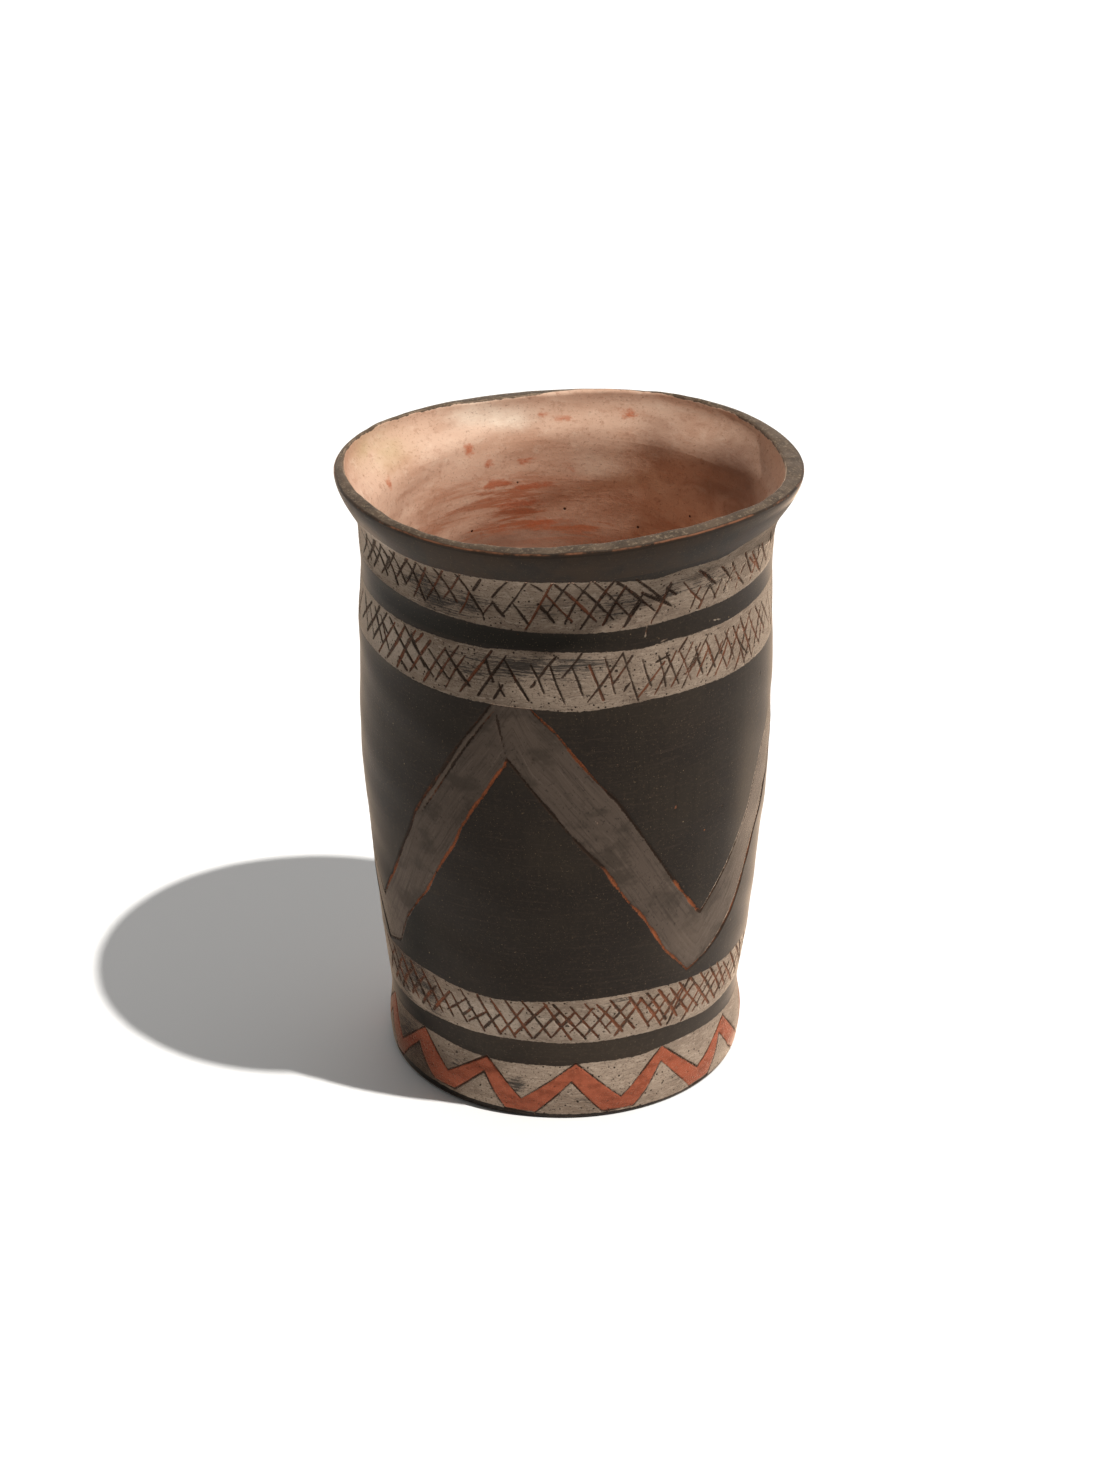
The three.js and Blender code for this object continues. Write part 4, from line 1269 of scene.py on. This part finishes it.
BELLY_CHIPS = (
    (8, 98.6, 9, 97.2, 1.65), (-10, 117.4, -8, 117, 0.1), (-9.6, 117, -8.8, 116, 0.1),
    (13.6, 115.2, 14.4, 114.6, 1.6), (-27.2, 80.2, -27, 80, 1.7), (66.4, 126.2, 67, 125.2, 1),
    (24.6, 119.4, 24.9, 119.2, 1.6), (31, 98, 31.2, 99.6, 1.55), (48.2, 93, 48.6, 92.8, 1),
)
RIBBON_LAP = [
    (-19.6, 131.6, 0.1), (-16.4, 117.5, 0.1),
]
RIBBON_FIRST_CUT = [
    (-19.6, 130.6, 0.8), (-22.4, 126.6, 0.4), (-27, 119.8, 0.1), (-33.4, 109.4, 0.1), (-38.6, 101, 0.7),
    (-43.4, 93.4, 0.2),
]


def ribbon_edges():
    """The upper and the lower edge of the ribbon, as places round the whole belly.

    The peaks of the upper one lie under the pale band. The last place of each line is where
    its first one is, so it is left out.
    """
    upper = list(RIBBON_UPPER)
    for peak, leg in zip(RIBBON_PEAKS, (RIBBON_UPPER_RIGHT, *RIBBON_UPPER_FAR)):
        upper += [(peak, RIBBON_PEAK_LEVEL, 0), *leg]
    return upper[:-1], RIBBON_LOWER[:-1]


ribbon_upper, ribbon_lower = ribbon_edges()


def ribbon_across(azimuth, level):
    """How far below the ribbon's upper edge a place is. Scraper marks run along it."""
    return (sharp_line_round(ribbon_upper, azimuth) - level) * RIBBON_LEAN


def inside_ribbon(azimuth, level):
    """How many millimetres a place lies between the two edges of the ribbon."""
    below = (level - sharp_line_round(ribbon_lower, azimuth)) * RIBBON_LEAN
    return np.minimum(ribbon_across(azimuth, level), below)


def belly_fade_and_painted_light(azimuth, level):
    """Faded and painted light, and the paler strip that the scraper left along the ribbon's left leg."""
    across = ribbon_across(azimuth, level)
    strip = np.clip((across - STRIP_FROM) / 0.4, 0, 1) * np.clip((STRIP_TO - across) / 0.5, 0, 1)
    strip = strip * np.exp(-((azimuth - STRIP_MIDDLE) / STRIP_REACH) ** 4)
    return faded(azimuth, level) + strip * STRIP_PALENESS


def ribbon_layer(wire, place, tint, roughness, height):
    """Scraped clay of the ribbon: matt grey-brown, with the marks of the scraper."""
    chart = wire.node("ShaderNodeAttribute", {"attribute_name": "chart"}, None, 1)
    level = wire.node("ShaderNodeSeparateXYZ", None, {0: chart}, 1)
    along = wire.node("ShaderNodeCombineXYZ", None,
                      {0: wire_zone(wire, "across") * 1.15, 1: level * 0.05})
    values = {"Vector": along, "Scale": 1.0, "Detail": 4.0, "Roughness": 0.68}
    scrape = wire.node("ShaderNodeTexNoise", None, values)
    fine = grain(wire, place, (0.8, 0.8, 1.0), 3.0, 0.72)
    cloud = grain(wire, place, (9, 9, 7), 3.0, 0.6)
    inside = wire_zone(wire, "ribbon") + fine.sway(0.9) + cloud.sway(0.9)
    inside = inside.ramp(-0.2, 0.3)
    inside = inside * (1 - wire_zone(wire, "pale").ramp(-0.1, 0.1))
    face = coated(
        wire, (101, 87, 77),
        ((68, 58, 51), scrape.ramp(0.5, 0.68) * 0.6),
        ((125, 109, 97), (1 - scrape).ramp(0.54, 0.7) * 0.5),
        ((72, 62, 54), cloud.ramp(0.46, 0.66) * 0.75),
        ((48, 42, 37), fine.ramp(0.56, 0.7) * 0.6),
        # Paler where faded; the faded zones hold painted highlights too.
        ((134, 116, 101), wire_zone(wire, "faded").ramp(0.0, 1.0) * 0.8),
    )
    tint = tint.blend(face, inside)
    roughness = roughness + (0.62 - roughness) * inside
    height = height + (scrape * 0.9 + fine * 0.5 - height) * inside
    return tint, roughness, height


def sink_ribbon(mesh):
    """Lowers the face of the ribbon below the burnished wall."""
    points = np.zeros(3 * len(mesh.vertices), np.float32)
    mesh.vertices.foreach_get("co", points)
    inside = np.clip(kept(mesh, "ribbon", 1) / RIBBON_SHOULDER, 0, 1) * kept(mesh, "outside", 1)
    sunk = inside * RIBBON_SINK * MILLIMETRE
    points = points.reshape(-1, 3) - kept(mesh, "outward", 3) * sunk
    mesh.vertices.foreach_set("co", points.ravel())


black_burnish = wall_material("black_burnish", ribbon=True)
ribbon_lines = [RIBBON_UPPER, RIBBON_UPPER_RIGHT, *RIBBON_UPPER_FAR, RIBBON_LOWER]
ribbon_strokes = [(line, RIBBON_LINE_WIDTH, 1.0, 0.45, 0.3) for line in ribbon_lines]
ribbon_strokes += [(RIBBON_LAP, 0.5, 0.4, 0.5, 0.9), (RIBBON_FIRST_CUT, 0.75, 0.9, 0.4, 0.9)]
for first, low, last, high, tone in BELLY_CHIPS:
    ribbon_strokes.append(([(first, low, tone), (last, high, tone)], 0.5, 0.5, 0.6, 0.8))
ribbon_cuts = strokes_object("ribbon_cuts", ribbon_strokes)


def belly_strap(name, low, high):
    """A strap of the belly, with its part of the ribbon cut and sunk."""
    rows, corners = strap_section(low, high, BELLY_STEP)
    blank = ring_mesh(name, rows, BELLY_COLUMNS, corners)
    mark_outside(blank, pale=inside_pale, ribbon=inside_ribbon, soot=soot, faded=belly_fade_and_painted_light,
                 across=ribbon_across)
    sink_ribbon(blank)
    made = incised(name + "_burnished", blank, line_incising, {
        "Drawn strokes": ribbon_cuts, "Depth": RIBBON_LINE_DEPTH, "Finish": black_burnish,
    })
    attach(made, "root")
    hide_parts(name)


belly_strap("lower_belly_strap", WAIST_TOP, LOWER_BELLY_TOP)
belly_strap("upper_belly_strap", LOWER_BELLY_TOP, UPPER_BELLY_TOP)
bpy.data.objects.remove(ribbon_cuts)


# Shoulder strap. It carries the second pale band, hatched with longer and steeper strokes
# than the others, and above it the burnished stripe that parts the two upper bands.
UPPER_HATCH_WIDTH = 0.68
SHOULDER_STROKES = (
    (-75, 146, -71, 138, 0.3), (-70, 145, -66, 137.5, 0.3), (-61, 144.2, -57.4, 141.4, 0.1),
    (-56.8, 147, -44.4, 136.4, 0.15), (-49.8, 147.6, -38.4, 136.2, 0.05), (-52, 137.2, -48.4, 134.8, 0.2),
    (-40.2, 143.8, -33, 136.9, 0.05), (-34.6, 145.4, -26.6, 136.6, 0), (-22, 145.2, -19.8, 139.2, 0.1),
    (-16.8, 146, -10, 134.9, 0.15), (-9.6, 145.2, -6, 137.2, 0.1), (-4.4, 145, -0.4, 134.2, 0.05),
    (-18.2, 139.2, -16.6, 135.4, 0.1), (1.2, 145.2, 4.4, 136.2, 0.05), (6, 145.2, 9.8, 135, 0.5),
    (10.2, 147.2, 12.9, 136.4, 0.45), (15.2, 147.6, 19.4, 133.4, 0.1), (20.7, 145.2, 23.1, 137.1, 0.1),
    (25.4, 145.4, 27.3, 136, 0.2), (27.7, 145.6, 31.3, 136, 0.3), (31.9, 145.2, 35.3, 136, 0.7),
    (37.2, 144.8, 39.5, 136.4, 0.3), (41, 146, 44, 136.9, 0.5), (44.4, 146, 48.9, 134.6, 0.5),
    (48.6, 145.6, 52.1, 136, 0.4), (52.3, 145.6, 56.8, 133.4, 0.5), (56, 146.6, 61, 133.3, 0.6),
    (60.4, 146.2, 66.2, 134.8, 0.7), (64.4, 146.6, 71, 137.4, 0.6), (69.4, 145.6, 76, 137, 0.4),
    (-77, 138, -68.4, 146.6, 0.2), (-71.2, 137, -62.6, 147.6, 0.1), (-66.6, 136.4, -58.4, 147.4, 0.1),
    (-62.4, 134.4, -54.2, 146.4, 0.6), (-57.6, 134.9, -49.4, 147.2, 0.5), (-52.8, 134, -45.2, 147.4, 0.6),
    (-47.2, 134.8, -39.6, 146.2, 0.6), (-45.2, 144, -42.4, 147.4, 0.6), (-41.8, 133.8, -34.4, 145.8, 0.6),
    (-37.6, 135.4, -30.2, 147.4, 0.6), (-34.2, 134.2, -28.2, 145, 0.5), (-29.6, 134.3, -20.4, 147.9, 0.6),
    (-24.2, 134.4, -16.4, 147, 0.2), (-19.6, 134.2, -17.2, 138.6, 0.1), (-9.6, 138.6, -8.4, 140.6, 0.1),
    (-7.2, 141.8, -2.8, 147.8, 0.1), (-1.2, 141.8, 4, 148.6, 0), (5.6, 134.7, 15.2, 147.8, 0.25),
    (12.6, 139.6, 17.8, 146.6, 0.4), (15.4, 136.8, 17.2, 139.2, 0.1), (19.4, 134.6, 27.2, 143.2, 0.7),
    (24, 134.4, 30.8, 145.4, 0.4), (29, 135.6, 36.4, 146.4, 0.5), (31.7, 145.4, 34.6, 148.2, 0.6),
    (32.4, 134.4, 38, 142.8, 0.4), (36.4, 139.8, 42, 147, 0.5), (37.4, 136.4, 42.2, 143.8, 0.8),
    (41, 135.4, 47.4, 143.2, 0.4), (44, 134.6, 49.8, 143, 0.7), (49, 135.4, 53.4, 142.2, 0.5),
    (52, 133, 55.4, 138.4, 0.5), (59, 137.8, 62.8, 143.2, 0.4), (61, 134, 65, 139, 0.4),
    (65.4, 139.4, 69.4, 145.8, 0.5), (69.6, 136.4, 75, 144.6, 0.4), (22.1, 154.9, 21.5, 151.4, 1.66),
    (44.2, 150.3, 46.6, 149.8, 2), (26, 149.2, 28.2, 149.6, 1.66), (31.4, 144.8, 34.6, 148.2, 0.1),
    (41, 139.6, 42.6, 140.8, 2), (55, 140, 58.6, 135.2, 0.2), (33.6, 138, 39, 145.4, 0.4),
    (46, 140.2, 50.2, 145.6, 0.5), (50.6, 138.8, 55.2, 145, 0.6), (54.8, 137.4, 59, 143.6, 0.5),
    (57, 134.2, 60.6, 139.4, 0.4), (62.6, 136.6, 67.8, 144, 0.6), (66, 135.8, 70.8, 142.6, 0.5),
    (58.6, 141.6, 61.8, 146.8, 0.5), (24.6, 143.6, 28.8, 144.8, 0.1), (-66, 146.4, -60.6, 138.4, 0.2),
    (-62, 145.6, -56.8, 137.4, 0.3), (-47, 145.8, -41.6, 138.2, 0.2),
)

hatched_strap("shoulder_strap", UPPER_BELLY_TOP, SHOULDER_TOP, SHOULDER_STROKES, UPPER_HATCH_WIDTH, {
    "Strokes each way": 41, "Rising first": 74.0, "Falling first": 80.0, "Spacing": 5.0,
    "Foot": 134.6, "Head": 146.4, "Rising lean": 7.4, "Falling lean": -4.4, "Wander": 0.8,
}, seed=5)


# Collar strap. The wall starts to flare here. It carries the highest band, whose strokes are the
# roughest of the three. Its slip is stained from handling, with painted shade below the lip.
COLLAR_STROKES = (
    (-75.2, 158.2, -65.6, 168.1, 0.1), (-70.6, 158.4, -60.2, 168.1, 0.1), (-65.6, 158.6, -57, 168.4, 0.1),
    (-57, 161, -50.2, 168.6, 0.1), (-52.6, 160.4, -45.4, 168.2, 0.3), (-48.6, 159.8, -42, 168.4, 0.15),
    (-45.4, 157.4, -39.4, 167.2, 0.6), (-40.4, 158.6, -33.4, 168.2, 0.5), (-35, 159.8, -28.2, 168.2, 0.6),
    (-29.8, 157, -26.6, 163.2, 0.8), (-25.2, 164.2, -22.6, 167.6, 0.1), (-22.9, 158, -19.9, 161.7, 0.4),
    (-20, 163, -15.2, 168, 0.05), (-17.2, 158.9, -10.1, 168.4, 0), (-11, 155.2, -3.6, 168.2, 0.75),
    (-5.3, 159.8, 0.6, 168, 0.1), (-0.4, 157.8, 6, 167.9, 0.3), (3.6, 155.8, 12, 167.6, 0.3),
    (9.6, 156.4, 15.4, 165.8, 0.4), (15.2, 155, 20.2, 162.8, 0.05), (23.2, 155.2, 28.2, 164.6, 0.5),
    (37.8, 155.8, 41.2, 160.4, 0.3), (47.2, 158, 51, 163, 0.1), (52.4, 156.8, 56, 162.2, 0.5),
    (60, 156.4, 64.4, 163, 0.6), (66, 156.6, 71, 163.2, 0.3), (-67.2, 165.6, -62.4, 161, 0),
    (-62.2, 165.8, -57.2, 159.4, 0), (-57.6, 166.9, -52.2, 158.6, 0), (-53.2, 167.4, -48.4, 160, 0),
    (-46.6, 167.2, -41.2, 157.6, 0.1), (-42.2, 167.6, -36, 159.8, 0.1), (-36.6, 167.9, -34.4, 165.2, 0.1),
    (-34.6, 165.6, -30.4, 159.9, 0.4), (-29.6, 167.7, -22.6, 157.9, 0.15), (-23.4, 159.4, -22.4, 156.6, 0),
    (-19.9, 161.8, -16.8, 158.4, 0.05), (-14.2, 161.8, -10.2, 156.9, 0.05),
    (-9.2, 167.6, -6.4, 165.7, 0.1), (-7.6, 162.2, -3.4, 157.7, 0.05), (-5.6, 164.8, 1.4, 157.9, 0.8),
    (-3.4, 168, -1.2, 165.8, 0.1), (-0.4, 165.4, 7.8, 157.7, 0.75), (1.2, 168.2, 12.6, 157.7, 0.2),
    (6.8, 167.9, 17.4, 157.7, 0.4), (12.8, 167.2, 24.2, 158.3, 0.25), (17.8, 167.2, 28.8, 158.8, 0.25),
    (27.2, 163.4, 30.2, 161.2, 0.1), (32.2, 163.8, 39.2, 157.4, 0.6), (49.2, 164.2, 56.4, 156.6, 0.5),
    (54.4, 165.2, 60.4, 158.2, 0.4), (59, 164, 66.4, 156.4, 0.8), (64.4, 164.4, 71.4, 157.2, 0.6),
    (70, 165.4, 75.4, 160.6, 0.2), (15.4, 155.2, 20, 161.2, 0.1), (23.2, 155.4, 28.6, 164, 0.35),
    (20, 163.4, 29.2, 158.6, 0.2), (44.8, 156.8, 45.7, 159.6, 2), (48.9, 157.6, 50.7, 161.8, 2),
    (53.2, 156.8, 55.2, 162, 2), (60.5, 155.8, 61.3, 159, 2), (34, 166.6, 37.4, 164.4, 2),
    (55.4, 164.8, 60.2, 163.4, 2), (57.6, 163, 62.8, 159.6, 0.9), (38.4, 155.8, 40, 159.4, 0.7),
    (22.2, 155.8, 21.6, 155.2, 2), (35.4, 156.6, 38.2, 161.4, 0.4), (41.4, 161, 44.2, 157, 0.2),
    (43.4, 157, 46, 161.2, 0.2), (45, 164.4, 50.4, 159.6, 0.3), (36.8, 165.6, 42.4, 161.4, 0.3),
    (40, 163.8, 43.8, 160.6, 0.2), (62.4, 164.8, 63.4, 161.8, 0.1), (36, 167, 41, 165, 2),
    (40.6, 166, 46.8, 163.8, 2), (42, 162.4, 47.6, 160.8, 2), (46.6, 160.8, 49.4, 157.8, 2),
    (50.6, 162.8, 52.6, 160, 2), (-60.6, 158.6, -54.8, 165, 0.2), (-72.6, 165.8, -67.4, 159.6, 0.1),
)

hatched_strap("collar_strap", SHOULDER_TOP, COLLAR_TOP, COLLAR_STROKES, UPPER_HATCH_WIDTH, {
    "Strokes each way": 39, "Rising first": 72.0, "Falling first": 80.0, "Spacing": 5.3,
    "Foot": 157.4, "Head": 166.4, "Rising lean": 6.4, "Falling lean": -6.0, "Wander": 0.9,
}, seed=8)


# Lip coil. The last roll of clay, pinched out to a flare and trimmed flat on top. It is
# burnished dark down to the collar, and years of drinking have worn its two edges pale and
# orange. At the back the dark slip stops short of the inner edge.
LIP_COLUMNS = 900
LIP_STEP = 0.4
LIP_OUTER_ROUND = 0.8
LIP_INNER_ROUND = 0.9
LAND_TILT = 0.45
LAND_STEPS = 12
LAND_CROWN = 0.12
LAND_TRIM = 0.2
LIP_ROUND_STEPS = 6
LIP_INNER_STEP = 0.9
LIP_WRAP = 0.55
LIP_NICKS = ((17, 0.10, 1.0), (31, 0.07, 0.0), (53, 0.05, 2.2))
NICK_OUTER_SHARE = 0.5
NICK_BITE = 0.4
BORDER_INSET = 0.25
BACK_BORDER = 2.0
BACK_AZIMUTH = 168
BACK_REACH = 17.0
LEFT_BORDER_RISE = 0.1
LEFT_AZIMUTH = 226
LEFT_REACH = 40.0
LAND_SPREAD = ((1, 0.26, 0.79), (2, 0.07, 0.24), (3, -0.36, -0.47), (4, 0.39, 0.59))


def lip_section():
    """The lip's rows, up its flare, round its outer edge, over its land and down its inside."""
    azimuth = np.radians(columns_round(LIP_COLUMNS))
    top_width = wall_thickness(RIM_LEVEL) - LAND_TRIM + waves(LAND_SPREAD, azimuth)
    nick = sum(size * np.sin(turns * azimuth + phase) for turns, size, phase in LIP_NICKS)
    quarter = np.linspace(0, math.pi / 2, LIP_ROUND_STEPS + 1)[1:]
    flare = levels_between(COLLAR_TOP, RIM_LEVEL - LIP_OUTER_ROUND, LIP_STEP)
    rows = [(level, 0.0, 1) for level in flare]
    for turn in quarter:
        drop = LIP_OUTER_ROUND * (1 - math.sin(turn))
        inset = LIP_OUTER_ROUND * (1 - math.cos(turn)) + nick * NICK_BITE
        rows.append((RIM_LEVEL - drop + nick * math.sin(turn) * NICK_OUTER_SHARE, inset, 1))
    land_start = len(rows) - 1
    for share in np.linspace(0, 1, LAND_STEPS + 1)[1:]:
        inset = LIP_OUTER_ROUND + share * (top_width - LIP_OUTER_ROUND - LIP_INNER_ROUND)
        crown = LAND_CROWN * math.sin(math.pi * share)
        lift = nick * (NICK_OUTER_SHARE + (1 - NICK_OUTER_SHARE) * share)
        level = RIM_LEVEL + LAND_TILT * share + crown + lift
        rows.append((level, inset + nick * NICK_BITE * (1 - share), 1))
    for turn in quarter:
        drop = LIP_INNER_ROUND * (1 - math.cos(turn))
        inset = top_width - LIP_INNER_ROUND * (1 - math.sin(turn))
        rows.append((RIM_LEVEL + LAND_TILT - drop + nick, inset, 1))
    land_end = len(rows) - 1
    low = COLLAR_TOP - SCARF_DROP
    inner_top = RIM_LEVEL + LAND_TILT - LIP_INNER_ROUND
    for level in levels_between(inner_top, low, LIP_INNER_STEP)[1:]:
        share = (level - low) / (inner_top - low)
        inset = wall_thickness(level) + eased(share) * (top_width - wall_thickness(RIM_LEVEL))
        rows.append((level + eased(share) * nick, inset, 1 if share > LIP_WRAP else 0))
    return rows, land_start, land_end


def lip_material():
    """Dark lip with its worn land, edge wear and the rosy slip that meets it inside."""
    finish, wire = new_finish("lip_burnish", gloss_index=1.25, dust=0.8)
    place = surface(wire)
    dark, dark_rough, dark_height = dark_layer(wire, place)
    pale, pale_rough, pale_height = pale_layer(wire, place)
    rosy, rosy_rough, rosy_height = rosy_layer(wire, place)
    ragged = grain(wire, place, (1.8, 1.8, 1.0), 4.0, 0.65)
    fine = grain(wire, place, (0.9, 0.9, 0.5), 3.0, 0.7)
    patch = grain(wire, place, (9, 9, 9), 3.0, 0.6)
    section = wire_zone(wire, "section")
    slip = (wire_zone(wire, "pale") + ragged.sway(0.9)).ramp(-0.10, 0.12)
    tint = dark.blend(colour_of(70, 52, 38), patch.ramp(0.3, 0.6) * 0.5).blend(pale, slip)
    roughness = dark_rough + (pale_rough - dark_rough) * slip
    land = section.ramp(0.1, 0.7)
    top = coated(
        wire, (97, 81, 67),
        ((70, 59, 50), (ragged * 0.4 + patch * 0.6).ramp(0.36, 0.64)),
        ((150, 131, 108), fine.ramp(0.5, 0.7) * 0.7),
    )
    tint = tint.blend(top, land)
    wear = wire_zone(wire, "worn")
    edge = (section + 0.1).near(0.1, 0.4)
    chipped = (patch * 0.9 + ragged * 0.7 + wear * 0.6 - 0.95).ramp(0.0, 0.3) * edge
    tint = tint.blend(colour_of(138, 92, 68), chipped)
    tint = tint.blend(colour_of(36, 26, 20), (section + 0.95).near(0.1, 0.4) * 0.6)
    slipped = wire_zone(wire, "slipped")
    bright = (slipped + 0.45).near(0.1, 0.45) * patch.ramp(0.42, 0.6)
    tint = tint.blend(colour_of(172, 148, 124), bright * (0.35 + wear * 0.8).at_most(0.9))
    wiped = (slipped + (ragged.sway(1.0) + patch.sway(1.5))).ramp(-0.10, 0.12)
    tint = tint.blend(rosy, wiped)
    roughness = (roughness + land * 0.06) * (1 - wiped) + rosy_rough * wiped
    height = dark_height * 0.4 + land * fine * 0.5
    height = height * (1 - wiped) + rosy_height * wiped
    paint(finish, tint, roughness, bump(wire, height, 0.1))
    return finish


LIP_WEAR = (
    (-35, 176, 26, 60, 0.55), (36, 176, 22, 60, 0.7), (78, 176, 14, 60, 0.35), (0, 176, 14, 60, 0.3),
    (-96, 176, 12, 60, 0.8), (-120, 176, 20, 60, 0.3), (200, 176, 25, 60, 0.3),
)


def lip_fields(mesh, rows, land_start, land_end):
    """Keeps how far across the lip each point is, where it is worn and where rosy slip lies."""
    azimuth = columns_round(LIP_COLUMNS)
    level = np.stack([np.broadcast_to(row[0], LIP_COLUMNS) for row in rows])
    inset = np.stack([np.broadcast_to(row[1], LIP_COLUMNS) for row in rows])
    step = np.hypot(np.diff(level, axis=0), np.diff(inset, axis=0))
    section = np.concatenate([np.zeros((1, LIP_COLUMNS)), np.cumsum(step, axis=0)])
    section -= section[land_start - LIP_ROUND_STEPS // 2]
    inner_edge = section[land_end - LIP_ROUND_STEPS // 3]
    back = np.exp(-(round_from(azimuth, BACK_AZIMUTH) / BACK_REACH) ** 6)
    leftward = np.exp(-(round_from(azimuth, LEFT_AZIMUTH) / LEFT_REACH) ** 4)
    border = inner_edge * (1 - LEFT_BORDER_RISE * leftward) + BORDER_INSET
    border = border * (1 - back) + back * BACK_BORDER
    store(mesh, "section", section)
    store(mesh, "slipped", section - border)
    store(mesh, "worn", in_zone(np.broadcast_to(azimuth, section.shape), level, LIP_WEAR))


lip_burnish = lip_material()
lip_rows, lip_start, lip_end = lip_section()
lip_mesh = ring_mesh("lip_coil", lip_rows, LIP_COLUMNS, {0, len(lip_rows) - 1}, lip_burnish)
mark_outside(lip_mesh, pale=inside_pale, soot=soot, faded=faded)
lip_fields(lip_mesh, lip_rows, lip_start, lip_end)
lip_coil = add_object("lip_coil_worn", lip_mesh)
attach(lip_coil, "root")
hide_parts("lip_coil")


# Room. A white paper table in a plain studio, lit by a small warm lamp high at the right. The
# sky is dim, with a soft light above, a broad one behind the cup, and pale walls low round the
# back and the sides. The camera stands in front and looks down.
TABLE_HALF_SIZE = 6.0
PAPER_BRIGHT_REACH = 0.14
PAPER_REACH = 0.38
PAPER_TINT = (0.85, 0.85, 0.85, 1.0)
PAPER_FAR_TINT = (0.25, 0.25, 0.25, 1.0)
PAPER_SEEN_TINT = (1.0, 1.0, 0.995, 1.0)
KEY_DIRECTION = (0.442, -0.207, 1.0)
KEY_STRENGTH = 3.2
KEY_COLOUR = (1.0, 0.975, 0.94)
KEY_ANGLE = 1.3
SKY_STRENGTH = 0.02
WINDOW_DIRECTION = (0.5, 0.1, 0.86)
WINDOW_STRENGTH = 0.09
SWEEP_DIRECTION = (0.05, 0.85, 0.52)
SWEEP_STRENGTH = 0.9
WALL_HEIGHT = 0.45
WALL_STRENGTH = 0.25
SKY_COLOUR = (1.0, 0.99, 0.975, 1.0)
CAMERA_PLACE = (-0.00019, -0.98768, 0.62040)
CAMERA_PITCH = 62.01
CAMERA_YAW = 0.21
CAMERA_ROLL = -0.275
CAMERA_LENS = 98.16
SENSOR_SIZE = 36.0
SIGHT_REACH = 50.0


def table_material():
    """White paper. The camera sees it white. It lights the cup less, and least from far off."""
    finish, wire = bare_finish("white_table")
    seen = wire.node("ShaderNodeLightPath", None, None, "Is Camera Ray")
    for kind in ("Is Glossy Ray", "Is Transmission Ray"):
        seen = seen.at_least(wire.node("ShaderNodeLightPath", None, None, kind))
    place = wire.node("ShaderNodeTexCoord", None, None, 3)
    apart = wire.node("ShaderNodeVectorMath", {"operation": "LENGTH"}, {0: place}, 1)
    far = apart.ramp(PAPER_BRIGHT_REACH, PAPER_REACH)
    tint = colour(wire, PAPER_TINT).blend(PAPER_FAR_TINT, far).blend(PAPER_SEEN_TINT, seen)
    shader = wire.node("ShaderNodeBsdfDiffuse", None, {"Color": tint})
    wire.node("ShaderNodeOutputMaterial", None, {"Surface": shader})
    return finish


table_mesh = bpy.data.meshes.new("table")
table_corners = [(x * TABLE_HALF_SIZE, y * TABLE_HALF_SIZE, 0.0)
                 for x, y in ((-1, -1), (1, -1), (1, 1), (-1, 1))]
table_mesh.from_pydata(table_corners, [], [(0, 1, 2, 3)])
table_mesh.materials.append(table_material())
table = add_object("table", table_mesh)

key = bpy.data.lights.new("key", "SUN")
key.energy = KEY_STRENGTH
key.color = KEY_COLOUR
key.angle = math.radians(KEY_ANGLE)
key_lamp = add_object("key", key)
across = math.hypot(KEY_DIRECTION[0], KEY_DIRECTION[1])
tilt = math.atan2(across, KEY_DIRECTION[2])
heading = math.atan2(KEY_DIRECTION[1], KEY_DIRECTION[0]) + math.pi / 2
key_lamp.rotation_euler = (tilt, 0.0, heading)

sky = bpy.data.worlds.new("sky")
sky.use_nodes = True
background = next(n for n in sky.node_tree.nodes if n.type == "BACKGROUND")
background.inputs["Color"].default_value = SKY_COLOUR
sky_wire = Wire(sky.node_tree)
toward = sky_wire.node("ShaderNodeTexCoord")
height = sky_wire.node("ShaderNodeSeparateXYZ", None, {0: toward}, 2)
backward = sky_wire.node("ShaderNodeSeparateXYZ", None, {0: toward}, 1)


def facing(direction):
    """How nearly a place in the sky lies in a direction, from -1 to 1."""
    return sky_wire.node("ShaderNodeVectorMath", {"operation": "DOT_PRODUCT"},
                         {0: toward, 1: direction}, 1)


walls = height.near(0.0, WALL_HEIGHT) * backward.ramp(-0.5, 0.3)
sweep = facing(SWEEP_DIRECTION).at_least(0.0)
window = facing(WINDOW_DIRECTION).ramp(-0.2, 1.0)
light = SKY_STRENGTH + window * WINDOW_STRENGTH + walls * WALL_STRENGTH
light = light + sweep * sweep * SWEEP_STRENGTH
sky.node_tree.links.new(light.socket, background.inputs["Strength"])
bpy.context.scene.world = sky

camera = bpy.data.cameras.new("camera")
camera.lens = CAMERA_LENS
camera.sensor_width = SENSOR_SIZE
camera.clip_end = SIGHT_REACH
camera_object = add_object("camera", camera)
camera_object.location = CAMERA_PLACE
camera_object.rotation_mode = "XYZ"
aim = Euler((math.radians(CAMERA_PITCH), 0.0, math.radians(CAMERA_YAW))).to_matrix()
aim = aim @ Matrix.Rotation(math.radians(CAMERA_ROLL), 3, "Z")
camera_object.rotation_euler = aim.to_euler()
bpy.context.scene.camera = camera_object
bpy.context.scene.view_settings.view_transform = "Standard"
